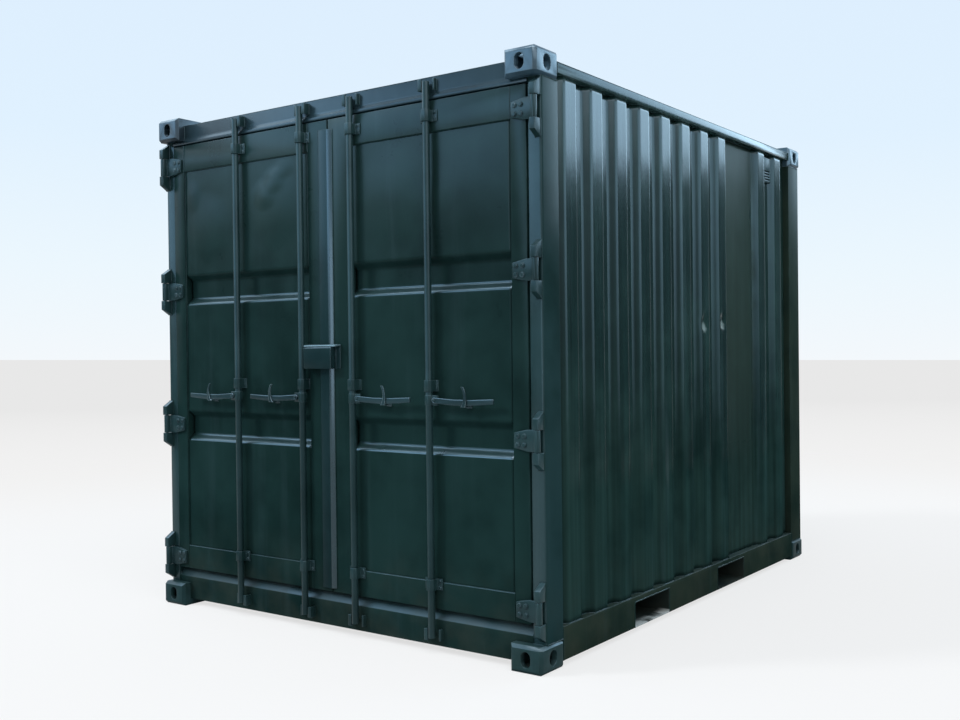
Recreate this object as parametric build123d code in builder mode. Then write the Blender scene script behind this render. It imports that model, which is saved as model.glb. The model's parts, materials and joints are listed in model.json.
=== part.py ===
from build123d import *
import os

os.makedirs("parts", exist_ok=True)

# A ten foot steel freight container with a pair of cargo doors at its -Y end.
# X runs across the doors, Y along the container, Z up from the ground.

# Overall size, over the corner castings
length = 3048.0
width = 2438.0
height = 2591.0

# Corner castings
casting_width = 162.0
casting_length = 178.0
casting_height = 118.0
casting_wall = 28.0
casting_inner_wall = 18.0
casting_bevel = 14.0
lift_hole_corner = 20.0
lift_hole_length = 124.5
lift_hole_width = 63.5
end_hole_height = 68.0
end_hole_width = 48.0
side_hole_height = 68.0
side_hole_width = 56.0

# Corner posts, header and sill at the door end
side_inset = 6.0
end_inset = 50.0
post_wall = 6.0
post_round = 12.0
post_front_width = 66.0
post_back_width = 109.0
post_front_depth = 60.0
header_height = 98.0
header_lip = 34.0
header_lip_edge = 12.0
header_lip_reach = 7.0
header_wall = 4.0
top_inset = 39.0
sill_bottom = 32.0
sill_top = 190.0
sill_ramp_height = 40.0
sill_ramp_depth = 34.0
sill_wall = 4.5

# Blind end
rear_inset = 6.0
rear_post_depth = 64.0

# Side rails
rail_width = 60.0
rail_wall = 4.0
top_rail_height = 45.0
bottom_rail_bottom = 25.0
bottom_rail_top = 170.0

# Corrugated walls
sheet = 2.0
wall_set_back = 6.0
wall_depth = 32.0
rib_pitch = 226.0
rib_crest = 110.0
rib_slope = 28.0
first_rib_inset = 57.0
plain_stretch = 440.0
rear_ribs = 2
rear_ribs_inset = 484.0
rear_rib_pitch = 257.0
end_rib_pitch = 250.0
end_rib_crest = 104.0
end_rib_slope = 30.0
end_wall_depth = 40.0

# Roof
roof_rib_pitch = 209.0
roof_rib_width = 120.0
roof_rib_height = 18.0
roof_rib_taper = 45.0
roof_rib_margin = 90.0

# Floor and underframe
floor_thickness = 28.0
member_height = 122.0
member_flange = 45.0
member_wall = 4.0
members_per_bay = (3, 3, 3)
pocket_width = 350.0
pocket_wall = 6.0
pocket_spacing = 940.0
pocket_shift = -63.0
pocket_strap = 250.0

# Door leaves
leaf_gap = 9.0
leaf_clearance = 7.0
leaf_depth = 60.0
leaf_face = 44.0
leaf_wall = 3.0
inner_stile = 130.0
outer_stile = 80.0
top_rail = 137.0
bottom_rail = 121.0
panel_recess = 8.0
groove_depth = 34.0
groove_height = 150.0
groove_slope = 26.0
groove_shares = (0.3225, 0.6836)
gasket_thickness = 2.0
gasket_depth = 34.0
gasket_back = 4.0

# Hinges
hinge_low_inset = 58.0
hinge_high_inset = 105.0
hinge_shares = (0.0, 0.34, 0.68, 1.0)
hinge_pin_radius = 8.0
hinge_knuckle_radius = 14.0
hinge_pin_inset = 22.0
hinge_pin_depth = 18.0
hinge_bore_clearance = 0.8
blade_height = 92.0
blade_tip_height = 64.0
blade_reach = 125.0
blade_thickness = 12.0
lug_height = 76.0
lug_slope = 30.0
lug_gap = 2.0

# Lock rods, cams and keepers
rod_radius = 16.0
rod_depth = 21.0
inner_rod_x = 165.0
outer_rod_x = 625.0
rod_bottom = 72.0
rod_top_inset = 63.0
cam_height = 26.0
cam_radius = 26.0
cam_angle = 46.0
cam_start = 112.0
keeper_height = 52.0
keeper_wall = 10.0
keeper_gap = 5.0
keeper_lip_front = 6.0
keeper_jaw_back = 8.0
guide_low_inset = 112.0
guide_above_handle = 64.0
guide_high_inset = 69.0
guide_height = 50.0
guide_width = 96.0
guide_narrow_width = 60.0
guide_plate = 5.0
guide_ring = 4.0
guide_clearance = 0.8
guide_bends = 8

# Handles and their holders
handle_z = 1124.0
handle_length = 358.0
handle_pivot = 36.0
handle_bar = 26.0
handle_thickness = 10.0
handle_sag = 7.0
handle_dip_before = 60.0
handle_dip_after = 40.0
handle_end_taper = 2.0
handle_play = 1.0
handle_pin_radius = 6.0
handle_pin_end = 2.0
hub_half = 18.5
hub_sides = 8
hub_reach = 14.0
hub_height = 44.0
hub_plate = 9.0
handle_front = 6.0
holder_offset = 202.0
holder_width = 26.0
holder_plate = 5.0
holder_base_above = 12.0
holder_base_below = 12.0
holder_gap = 1.0
finger_top = 62.0
finger_bulge_height = 22.0
finger_bulge = 9.0
finger_lean = 5.0
finger_root_half = 12.0
finger_tip_half = 6.0

# Overlap plate and lock box
overlap_left = 52.0
overlap_right = 30.0
overlap_thickness = 6.0
overlap_edge = 2.0
overlap_top_inset = 47.0
overlap_bottom_inset = 18.0
box_left = -135.0
box_right = 44.0
box_above_handle = 139.0
box_height = 112.0
box_slope = 14.0
box_wall = 5.0
box_front = 1.0
box_plate_right = 71.0

# Vent
vent_drop = 97.0
vent_side_gap = 4.0
vent_height = 150.0
vent_depth = 18.0
vent_wall = 2.5
vent_bevel = 5.0
vent_slots = 4
vent_slot_height = 8.0
vent_slot_pitch = 16.0
vent_slot_margin = 14.0

# Places worked out from the sizes above
half_width = width / 2
door_y = -length / 2
rear_y = length / 2
side_x = half_width - side_inset
frame_y = door_y + end_inset
post_front_x = side_x - post_front_width
post_back_x = side_x - post_back_width
post_step_y = frame_y + post_front_depth
inner_end = length / 2 - casting_length
casting_inner_x = half_width - casting_width
rail_top = height - top_inset
rail_inner_x = side_x - rail_width
header_bottom = rail_top - header_height
wall_x = side_x - wall_set_back
wall_bottom = bottom_rail_top
wall_top = rail_top - top_rail_height
rear_face_y = rear_y - rear_inset
end_wall_y = rear_face_y - wall_set_back
rear_rail_inner_y = rear_face_y - rail_width
floor_bottom = bottom_rail_bottom + member_height
pocket_height = member_height - 2 * pocket_wall
leaf_front_y = door_y + leaf_face
leaf_back_y = leaf_front_y + leaf_depth
leaf_outer_x = post_front_x - leaf_clearance
leaf_inner_x = leaf_gap / 2
leaf_top = header_bottom - leaf_clearance
leaf_bottom = sill_top + leaf_clearance
panel_left_x = leaf_inner_x + inner_stile
panel_right_x = leaf_outer_x - outer_stile
panel_top = leaf_top - top_rail
panel_bottom = leaf_bottom + bottom_rail
panel_y = leaf_front_y + panel_recess
pin_x = half_width - hinge_pin_inset
pin_y = door_y + hinge_pin_depth
rod_y = door_y + rod_depth
bar_front_y = door_y + handle_front
bar_back_y = bar_front_y + handle_thickness
pocket_centres = (pocket_shift - pocket_spacing / 2, pocket_shift + pocket_spacing / 2)
first_rib = -inner_end + first_rib_inset
rear_ribs_start = inner_end - rear_ribs_inset
front_ribs = int((rear_ribs_start - plain_stretch - rib_crest - first_rib) / rib_pitch) + 1
trough_x = wall_x - wall_depth
vent_y = rear_ribs_start + (rear_rib_pitch + rib_crest) / 2
vent_z = wall_top - vent_drop
hinge_low = leaf_bottom + hinge_low_inset
hinge_span = leaf_top - hinge_high_inset - hinge_low
hinge_heights = [hinge_low + share * hinge_span for share in hinge_shares]
groove_heights = [panel_bottom + share * (panel_top - panel_bottom) for share in groove_shares]
rod_top = height - rod_top_inset
guide_heights = (leaf_bottom + guide_low_inset, handle_z + guide_above_handle, leaf_top - guide_high_inset)
overlap_top = leaf_top - overlap_top_inset
overlap_bottom = leaf_bottom + overlap_bottom_inset
box_bottom = handle_z + box_above_handle
box_top = box_bottom + box_height


def write_piece(piece, name):
    piece.part.label = name
    export_step(piece.part, f"parts/{name}.step")


def mirrored(piece, plane=Plane.YZ):
    with BuildPart() as twin:
        mirror(piece.part, about=plane)
    return twin


def block(x_range, y_range, z_range, mode=Mode.ADD):
    """A box between two corners, for use inside a part."""
    centre = [(low + high) / 2 for low, high in (x_range, y_range, z_range)]
    size = [high - low for low, high in (x_range, y_range, z_range)]
    with Locations(tuple(centre)):
        Box(*size, mode=mode)


def bottom_casting():
    """The right-hand bottom casting at the door end: a hollow block with three holes."""
    mid_x = half_width - casting_width / 2
    mid_y = door_y + casting_length / 2
    mid_z = casting_height / 2
    with BuildPart() as casting:
        block(
            (half_width - casting_width, half_width),
            (door_y, door_y + casting_length),
            (0, casting_height),
        )
        end_edges = casting.faces().sort_by(Axis.Y)[0].edges()
        side_edges = casting.faces().sort_by(Axis.X)[-1].edges()
        outer_edges = end_edges + [e for e in side_edges if e.center().Y > door_y + casting_wall]
        chamfer(outer_edges, casting_bevel)
        block(
            (half_width - casting_width + casting_inner_wall, half_width - casting_wall),
            (door_y + casting_wall, door_y + casting_length - casting_inner_wall),
            (casting_wall, casting_height - casting_inner_wall),
            Mode.SUBTRACT,
        )
        with BuildSketch(Plane.XY):
            with Locations((mid_x, mid_y)):
                lift_hole = Rectangle(lift_hole_width, lift_hole_length)
            chamfer(lift_hole.vertices(), lift_hole_corner)
        extrude(amount=casting_wall, mode=Mode.SUBTRACT)
        with BuildSketch(Plane.XZ.offset(-door_y)):
            with Locations((mid_x, mid_z)):
                SlotOverall(end_hole_height, end_hole_width, rotation=90)
        extrude(amount=-casting_wall, mode=Mode.SUBTRACT)
        with BuildSketch(Plane.YZ.offset(half_width)):
            with Locations((mid_y, mid_z)):
                SlotOverall(side_hole_height, side_hole_width, rotation=90)
        extrude(amount=-casting_wall, mode=Mode.SUBTRACT)
    return casting


def four_castings(first):
    """The same casting at the four corners of one level."""
    with BuildPart() as group:
        add(first.part)
        mirror(first.part, about=Plane.YZ)
        mirror(first.part, about=Plane.XZ)
        mirror(mirror(first.part, about=Plane.YZ, mode=Mode.PRIVATE), about=Plane.XZ)
    return group


def door_post():
    """The right-hand corner post beside the doors: a stepped hollow section."""
    with BuildPart() as post:
        with BuildSketch(Plane.XY.offset(casting_height)) as section:
            with BuildLine():
                Polyline(
                    (post_front_x, frame_y),
                    (side_x, frame_y),
                    (side_x, -inner_end),
                    (post_back_x, -inner_end),
                    (post_back_x, post_step_y),
                    (post_front_x, post_step_y),
                    close=True,
                )
            make_face()
            corner = section.vertices().sort_by(Axis.Y).group_by(Axis.Y)[0].sort_by(Axis.X)[-1]
            fillet(corner, post_round)
            offset(amount=-post_wall, mode=Mode.SUBTRACT)
        extrude(amount=height - 2 * casting_height)
    return post


def rear_post():
    """The right-hand corner post at the blind end, with a slanted inner face."""
    inner_y = rear_face_y - rear_post_depth
    inner_x = side_x - rear_post_depth
    with BuildPart() as post:
        with BuildSketch(Plane.XY.offset(casting_height)) as section:
            with BuildLine():
                Polyline(
                    (inner_x, inner_end),
                    (side_x, inner_end),
                    (side_x, rear_face_y),
                    (casting_inner_x, rear_face_y),
                    (casting_inner_x, inner_y),
                    close=True,
                )
            make_face()
            corner = section.vertices().sort_by(Axis.Y).group_by(Axis.Y)[-1].sort_by(Axis.X)[-1]
            fillet(corner, post_round)
            offset(amount=-post_wall, mode=Mode.SUBTRACT)
        extrude(amount=height - 2 * casting_height)
    return post


def door_header():
    """Box section over the doors, with a lip that throws rain clear of them."""
    lip_top = header_bottom + header_lip
    with BuildPart() as header:
        with BuildSketch(Plane.YZ.offset(-post_front_x)):
            with BuildLine():
                Polyline(
                    (frame_y, rail_top),
                    (frame_y, lip_top),
                    (frame_y - header_lip_reach, header_bottom + header_lip_edge),
                    (frame_y - header_lip_reach, header_bottom),
                    (post_step_y, header_bottom),
                    (post_step_y, rail_top),
                    close=True,
                )
            make_face()
            offset(amount=-header_wall, mode=Mode.SUBTRACT)
        extrude(amount=2 * post_front_x)
        # the castings take the two top corners
        for side in (-1, 1):
            low, high = sorted((side * casting_inner_x, side * half_width))
            block(
                (low, high),
                (door_y, frame_y + casting_length),
                (height - casting_height, height),
                Mode.SUBTRACT,
            )
    return header


def door_sill():
    """Folded sill under the doors, with a sloped upper edge in front of the leaves."""
    with BuildPart() as sill:
        with BuildSketch(Plane.YZ.offset(-post_front_x)):
            with BuildLine():
                Polyline(
                    (frame_y, sill_bottom),
                    (frame_y, sill_top - sill_ramp_height),
                    (frame_y + sill_ramp_depth, sill_top),
                    (-inner_end, sill_top),
                    (-inner_end, sill_bottom),
                    close=True,
                )
            make_face()
            offset(amount=-sill_wall, mode=Mode.SUBTRACT)
        extrude(amount=2 * post_front_x)
        for side in (-1, 1):
            low, high = sorted((side * casting_inner_x, side * half_width))
            block((low, high), (door_y, -inner_end), (0, casting_height), Mode.SUBTRACT)
            low, high = sorted((side * post_back_x, side * half_width))
            block((low, high), (post_step_y, -inner_end), (0, height), Mode.SUBTRACT)
    return sill


def cam_keepers():
    """Keepers on the header and the sill: a hooked jaw and a plain one for each cam."""
    near = rod_radius + keeper_gap
    far = cam_radius + keeper_gap
    lip_front = rod_y - keeper_lip_front
    jaw_front = rod_y + keeper_jaw_back
    with BuildPart() as keepers:
        for x in (inner_rod_x, outer_rod_x):
            for level in (rod_bottom + cam_height / 2, rod_top - cam_height / 2):
                with BuildSketch(Plane.XY.offset(level - keeper_height / 2)):
                    with BuildLine():
                        Polyline(
                            (x - near, lip_front),
                            (x - far - keeper_wall, lip_front),
                            (x - far - keeper_wall, frame_y),
                            (x - far, frame_y),
                            (x - far, lip_front + keeper_wall),
                            (x - near, lip_front + keeper_wall),
                            close=True,
                        )
                    make_face()
                    with Locations((x + far + keeper_wall / 2, (jaw_front + frame_y) / 2)):
                        Rectangle(keeper_wall, frame_y - jaw_front)
                extrude(amount=keeper_height)
        mirror(keepers.part, about=Plane.YZ)
    return keepers


def hinge_lugs():
    """Pairs of lugs on both door posts with the hinge pin between them."""
    reach = blade_height / 2 + lug_gap
    back = frame_y
    front = pin_y - hinge_knuckle_radius
    with BuildPart() as lugs:
        for z in hinge_heights:
            for up in (-1, 1):
                near = z + up * reach
                far = z + up * (reach + lug_height)
                with BuildSketch(Plane.YZ.offset(pin_x - hinge_knuckle_radius)):
                    with BuildLine():
                        Polyline(
                            (back, near),
                            (front, near),
                            (front, far - up * lug_slope),
                            (back, far),
                            close=True,
                        )
                    make_face()
                extrude(amount=2 * hinge_knuckle_radius)
            with BuildSketch(Plane.XY.offset(z - reach)):
                with Locations((pin_x, pin_y)):
                    Circle(hinge_pin_radius)
            extrude(amount=2 * reach)
        mirror(lugs.part, about=Plane.YZ)
    return lugs


def corrugation(starts, crest, slope, outer, inner, first, last):
    """Points of a trapezoid wall section, from one end of the wall to the other."""
    points = []
    for start in starts:
        points.append((inner, start - slope))
        points.append((outer, start))
        points.append((outer, start + crest))
        points.append((inner, start + crest + slope))
    return [(inner, first)] + points + [(inner, last)]


def side_wall():
    """The right-hand side wall, with a plain stretch between its two runs of ribs."""
    outer = wall_x - sheet / 2
    inner = outer - wall_depth
    starts = [first_rib + i * rib_pitch for i in range(front_ribs)]
    starts += [rear_ribs_start + i * rear_rib_pitch for i in range(rear_ribs)]
    points = corrugation(starts, rib_crest, rib_slope, outer, inner, -inner_end, inner_end)
    with BuildPart() as wall:
        with BuildSketch(Plane.XY.offset(wall_bottom)):
            with BuildLine():
                Polyline(*points)
            trace(line_width=sheet)
        extrude(amount=wall_top - wall_bottom)
    return wall


def end_wall():
    """The blind end wall, with its ribs centred between the posts."""
    outer = end_wall_y - sheet / 2
    inner = outer - end_wall_depth
    count = int(2 * (casting_inner_x - end_rib_slope) / end_rib_pitch)
    span = (count - 1) * end_rib_pitch + end_rib_crest
    starts = [-span / 2 + i * end_rib_pitch for i in range(count)]
    left_end, right_end = -casting_inner_x, casting_inner_x
    points = corrugation(starts, end_rib_crest, end_rib_slope, outer, inner, left_end, right_end)
    with BuildPart() as wall:
        with BuildSketch(Plane.XY.offset(bottom_rail_top)):
            with BuildLine():
                Polyline(*[(x, y) for y, x in points])
            trace(line_width=sheet)
        extrude(amount=wall_top - bottom_rail_top)
    return wall


def top_side_rail():
    """Square tube over the right-hand wall."""
    with BuildPart() as rail:
        with BuildSketch(Plane.XZ.offset(-inner_end)):
            with Locations((side_x - rail_width / 2, rail_top - top_rail_height / 2)):
                Rectangle(rail_width, top_rail_height)
                Rectangle(rail_width - 2 * rail_wall, top_rail_height - 2 * rail_wall, mode=Mode.SUBTRACT)
        extrude(amount=2 * inner_end)
    return rail


def bottom_side_rail():
    """Tube under the right-hand wall, cut through for the fork pockets."""
    rail_height = bottom_rail_top - bottom_rail_bottom
    outer_width = pocket_width + 2 * pocket_wall
    with BuildPart() as rail:
        with BuildSketch(Plane.XZ.offset(-inner_end)):
            with Locations((side_x - rail_width / 2, bottom_rail_bottom + rail_height / 2)):
                Rectangle(rail_width, rail_height)
                Rectangle(rail_width - 2 * rail_wall, rail_height - 2 * rail_wall, mode=Mode.SUBTRACT)
        extrude(amount=2 * inner_end)
        for y in pocket_centres:
            block(
                (rail_inner_x, side_x),
                (y - outer_width / 2, y + outer_width / 2),
                (bottom_rail_bottom, bottom_rail_bottom + pocket_height + 2 * pocket_wall),
                Mode.SUBTRACT,
            )
    return rail


def rear_rails():
    """The tubes over and under the blind end wall."""
    pieces = []
    for low, high in ((wall_top, rail_top), (bottom_rail_bottom, bottom_rail_top)):
        with BuildPart() as rail:
            with BuildSketch(Plane.YZ.offset(-casting_inner_x)):
                with Locations((rear_face_y - rail_width / 2, (low + high) / 2)):
                    Rectangle(rail_width, high - low)
                    Rectangle(rail_width - 2 * rail_wall, high - low - 2 * rail_wall, mode=Mode.SUBTRACT)
            extrude(amount=2 * casting_inner_x)
        pieces.append(rail)
    return pieces


def fork_pockets():
    """Two tunnels across the base, open underneath between their end straps."""
    outer_width = pocket_width + 2 * pocket_wall
    outer_height = pocket_height + 2 * pocket_wall
    mid_z = bottom_rail_bottom + outer_height / 2
    with BuildPart() as pockets:
        for y in pocket_centres:
            with BuildSketch(Plane.YZ.offset(-side_x)):
                with Locations((y, mid_z)):
                    Rectangle(outer_width, outer_height)
                    Rectangle(pocket_width, pocket_height, mode=Mode.SUBTRACT)
            extrude(amount=2 * side_x)
            block(
                (-side_x + pocket_strap, side_x - pocket_strap),
                (y - pocket_width / 2, y + pocket_width / 2),
                (bottom_rail_bottom, bottom_rail_bottom + pocket_wall),
                Mode.SUBTRACT,
            )
    return pockets


def cross_members():
    """Channels under the floor, spread evenly over each bay between the pockets."""
    outer_half = pocket_width / 2 + pocket_wall
    bays = (
        (-inner_end, pocket_centres[0] - outer_half),
        (pocket_centres[0] + outer_half, pocket_centres[1] - outer_half),
        (pocket_centres[1] + outer_half, rear_rail_inner_y),
    )
    with BuildPart() as members:
        for (low, high), count in zip(bays, members_per_bay):
            for i in range(count):
                y = low + (high - low) * (i + 1) / (count + 1)
                with BuildSketch(Plane.YZ.offset(-rail_inner_x)):
                    with Locations((y, floor_bottom - member_height / 2)):
                        Rectangle(member_flange, member_height)
                    with Locations((y + member_wall, floor_bottom - member_height / 2)):
                        Rectangle(member_flange, member_height - 2 * member_wall, mode=Mode.SUBTRACT)
                extrude(amount=2 * rail_inner_x)
    return members


def floor_boards():
    """Plywood floor between the rails, notched round the blind end posts."""
    with BuildPart() as floor:
        block(
            (-rail_inner_x, rail_inner_x),
            (-inner_end, inner_end),
            (floor_bottom, floor_bottom + floor_thickness),
        )
        block(
            (-casting_inner_x, casting_inner_x),
            (inner_end, rear_rail_inner_y),
            (floor_bottom, floor_bottom + floor_thickness),
        )
    return floor


def roof_panel():
    """Roof sheet on the rails, with pressed cross ribs."""
    span = 2 * inner_end - 2 * roof_rib_margin
    count = int(span / roof_rib_pitch) + 1
    rib_length = 2 * (rail_inner_x - roof_rib_margin / 2)
    with BuildPart() as roof:
        with BuildSketch(Plane.XY.offset(rail_top)):
            Rectangle(2 * side_x, 2 * inner_end)
            with Locations((0, (rear_face_y + frame_y) / 2)):
                Rectangle(2 * casting_inner_x, rear_face_y - frame_y)
        extrude(amount=sheet)
        with BuildSketch(Plane.XY.offset(rail_top + sheet)):
            with GridLocations(1, roof_rib_pitch, 1, count):
                Rectangle(rib_length, roof_rib_width)
        extrude(amount=roof_rib_height, taper=roof_rib_taper)
        with BuildSketch(Plane.XY.offset(rail_top)):
            with GridLocations(1, roof_rib_pitch, 1, count):
                Rectangle(rib_length, roof_rib_width)
        extrude(amount=roof_rib_height, taper=roof_rib_taper, mode=Mode.SUBTRACT)
    return roof


def side_vent():
    """Hollow vent cover near the top of the right-hand wall, in the trough between its last two ribs."""
    slope = rib_slope / wall_depth
    base = (rear_rib_pitch - rib_crest) / 2 - rib_slope - vent_side_gap
    face = base + slope * vent_depth
    low, high = vent_z - vent_height / 2, vent_z + vent_height / 2
    with BuildPart() as vent:
        with BuildSketch(Plane.XY.offset(low)):
            with BuildLine():
                Polyline(
                    (trough_x, vent_y - base),
                    (trough_x, vent_y + base),
                    (trough_x + vent_depth, vent_y + face),
                    (trough_x + vent_depth, vent_y - face),
                    close=True,
                )
            make_face()
        extrude(amount=vent_height)
        chamfer(vent.faces().sort_by(Axis.X)[-1].edges(), vent_bevel)
        block(
            (trough_x, trough_x + vent_depth - vent_wall),
            (vent_y - base + vent_wall, vent_y + base - vent_wall),
            (low + vent_wall, high - vent_wall),
            Mode.SUBTRACT,
        )
        for i in range(vent_slots):
            z = low + vent_slot_margin + i * vent_slot_pitch
            block(
                (trough_x, trough_x + vent_depth),
                (vent_y - base + vent_bevel, vent_y + base - vent_bevel),
                (z, z + vent_slot_height),
                Mode.SUBTRACT,
            )
    return vent


def door_frame():
    """The right-hand leaf's frame: tube stiles with channel rails welded between them."""
    with BuildPart() as frame:
        block((leaf_inner_x, leaf_outer_x), (leaf_front_y, leaf_back_y), (leaf_bottom, leaf_top))
        block(
            (panel_left_x, panel_right_x),
            (leaf_front_y, leaf_back_y),
            (panel_bottom, panel_top),
            Mode.SUBTRACT,
        )
        for low, high in ((leaf_inner_x, panel_left_x), (panel_right_x, leaf_outer_x)):
            block(
                (low + leaf_wall, high - leaf_wall),
                (leaf_front_y + leaf_wall, leaf_back_y - leaf_wall),
                (leaf_bottom, leaf_top),
                Mode.SUBTRACT,
            )
        for low, high in ((leaf_bottom, panel_bottom), (panel_top, leaf_top)):
            block(
                (panel_left_x, panel_right_x),
                (leaf_front_y + leaf_wall, leaf_back_y),
                (low + leaf_wall, high - leaf_wall),
                Mode.SUBTRACT,
            )
    return frame


def door_panel():
    """The right-hand leaf's sheet, pressed inwards in two level grooves."""
    outer = panel_y + sheet / 2
    inner = outer + groove_depth
    points = [(outer, panel_bottom)]
    for z in groove_heights:
        points.append((outer, z - groove_height / 2))
        points.append((inner, z - groove_height / 2 + groove_slope))
        points.append((inner, z + groove_height / 2 - groove_slope))
        points.append((outer, z + groove_height / 2))
    points.append((outer, panel_top))
    with BuildPart() as panel:
        with BuildSketch(Plane.YZ.offset(panel_left_x)):
            with BuildLine():
                Polyline(*points)
            trace(line_width=sheet)
        extrude(amount=panel_right_x - panel_left_x)
    return panel


def door_gasket():
    """Rubber seal round the right-hand leaf's edge."""
    mid_x = (leaf_inner_x + leaf_outer_x) / 2
    mid_z = (leaf_bottom + leaf_top) / 2
    leaf_width = leaf_outer_x - leaf_inner_x
    leaf_height = leaf_top - leaf_bottom
    with BuildPart() as gasket:
        with BuildSketch(Plane.XZ.offset(-(leaf_back_y - gasket_back))):
            with Locations((mid_x, mid_z)):
                Rectangle(leaf_width + 2 * gasket_thickness, leaf_height + 2 * gasket_thickness)
                Rectangle(leaf_width, leaf_height, mode=Mode.SUBTRACT)
        extrude(amount=gasket_depth)
    return gasket


def hinge_blades():
    """The right-hand leaf's hinge blades, each turning on its pin."""
    blade_front = leaf_front_y - blade_thickness
    tip_x = pin_x - blade_reach
    half = blade_height / 2
    with BuildPart() as blades:
        for z in hinge_heights:
            with BuildSketch(Plane.XY.offset(z - half)):
                with BuildLine():
                    Polyline(
                        (tip_x, leaf_front_y),
                        (tip_x, blade_front),
                        (pin_x - hinge_knuckle_radius, blade_front),
                        (pin_x - hinge_knuckle_radius, pin_y),
                        (pin_x, pin_y),
                        (pin_x, leaf_front_y),
                        close=True,
                    )
                make_face()
                with Locations((pin_x, pin_y)):
                    Circle(hinge_knuckle_radius)
            extrude(amount=blade_height)
            with BuildSketch(Plane.XZ.offset(-leaf_front_y)):
                for up in (-1, 1):
                    with BuildLine():
                        Polyline(
                            (tip_x, z + up * blade_tip_height / 2),
                            (tip_x, z + up * half),
                            (leaf_outer_x, z + up * half),
                            close=True,
                        )
                    make_face()
            extrude(amount=blade_thickness, mode=Mode.SUBTRACT)
            with BuildSketch(Plane.XY.offset(z - half)):
                with Locations((pin_x, pin_y)):
                    Circle(hinge_pin_radius + hinge_bore_clearance)
            extrude(amount=blade_height, mode=Mode.SUBTRACT)
    return blades


def rod_guides():
    """Bearing straps that hold the right-hand leaf's two lock rods."""
    ring = rod_radius + guide_clearance + guide_ring
    with BuildPart() as guides:
        for x in (inner_rod_x, outer_rod_x):
            for z in guide_heights:
                on_panel = panel_bottom < z < panel_top
                seat = panel_y if on_panel else leaf_front_y
                plate_width = guide_narrow_width if on_panel else guide_width
                with BuildSketch(Plane.XY.offset(z - guide_height / 2)):
                    with Locations((x, seat - guide_plate / 2)):
                        Rectangle(plate_width, guide_plate)
                    with BuildLine():
                        Polyline(
                            (x - ring, seat),
                            (x - ring, rod_y - ring / 2),
                            (x - ring / 2, rod_y - ring),
                            (x + ring / 2, rod_y - ring),
                            (x + ring, rod_y - ring / 2),
                            (x + ring, seat),
                            close=True,
                        )
                    make_face()
                    with Locations((x, rod_y)):
                        RegularPolygon(
                            rod_radius + guide_clearance,
                            guide_bends,
                            major_radius=False,
                            rotation=180 / guide_bends,
                            mode=Mode.SUBTRACT,
                        )
                extrude(amount=guide_height)
    return guides


def handle_holders():
    """Cradles on the right-hand leaf, each a shelf under the handle with a bowed finger before it."""
    finger_back = bar_front_y - holder_gap
    shelf = handle_z - handle_bar / 2 - handle_sag - holder_gap
    tip = handle_z + finger_top
    bulge_z = handle_z + finger_bulge_height
    with BuildPart() as holders:
        for x in (inner_rod_x, outer_rod_x):
            middle = x + holder_offset
            left, right = middle - holder_width / 2, middle + holder_width / 2
            tip_x = middle - finger_lean
            root = shelf - holder_plate
            base_low, base_high = shelf - holder_base_below, shelf + holder_base_above
            block((left, right), (panel_y - holder_plate, panel_y), (base_low, base_high))
            block((left, right), (finger_back, panel_y), (shelf - holder_plate, shelf))
            with BuildSketch(Plane.XZ.offset(-finger_back)):
                with BuildLine():
                    ThreePointArc(
                        (middle - finger_root_half, root),
                        (middle + finger_bulge - finger_tip_half, bulge_z),
                        (tip_x - finger_tip_half, tip),
                    )
                    Line((tip_x - finger_tip_half, tip), (tip_x + finger_tip_half, tip))
                    ThreePointArc(
                        (tip_x + finger_tip_half, tip),
                        (middle + finger_bulge + finger_tip_half, bulge_z),
                        (middle + finger_root_half, root),
                    )
                    Line((middle + finger_root_half, root), (middle - finger_root_half, root))
                make_face()
            extrude(amount=holder_plate)
    return holders


def lock_rod(x):
    """One lock rod of the right-hand leaf, with its cams and the handle hub."""
    plate_front = bar_back_y + handle_play
    with BuildPart() as rod:
        with BuildSketch(Plane.XY.offset(rod_bottom)):
            with Locations((x, rod_y)):
                Circle(rod_radius)
        extrude(amount=rod_top - rod_bottom)
        for low in (rod_bottom, rod_top - cam_height):
            with BuildSketch(Plane.XY.offset(low)):
                with BuildLine():
                    start = Vector(cam_radius, 0).rotate(Axis.Z, cam_start) + Vector(x, rod_y)
                    CenterArc((x, rod_y), cam_radius, cam_start, cam_angle)
                    end = Vector(cam_radius, 0).rotate(Axis.Z, cam_start + cam_angle) + Vector(x, rod_y)
                    Line(end, (x, rod_y))
                    Line((x, rod_y), start)
                make_face()
            extrude(amount=cam_height)
        with BuildSketch(Plane.XY.offset(handle_z - hub_height / 2)):
            with Locations((x, rod_y)):
                RegularPolygon(hub_half, hub_sides, major_radius=False, rotation=180 / hub_sides)
            with Locations((x + (handle_pivot + hub_reach) / 2, plate_front + hub_plate / 2)):
                Rectangle(handle_pivot + hub_reach, hub_plate)
        extrude(amount=hub_height)
        with BuildSketch(Plane.XZ.offset(-plate_front)):
            with Locations((x + handle_pivot, handle_z)):
                Circle(handle_pin_radius)
        extrude(amount=plate_front - bar_front_y + handle_pin_end)
    return rod


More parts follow.
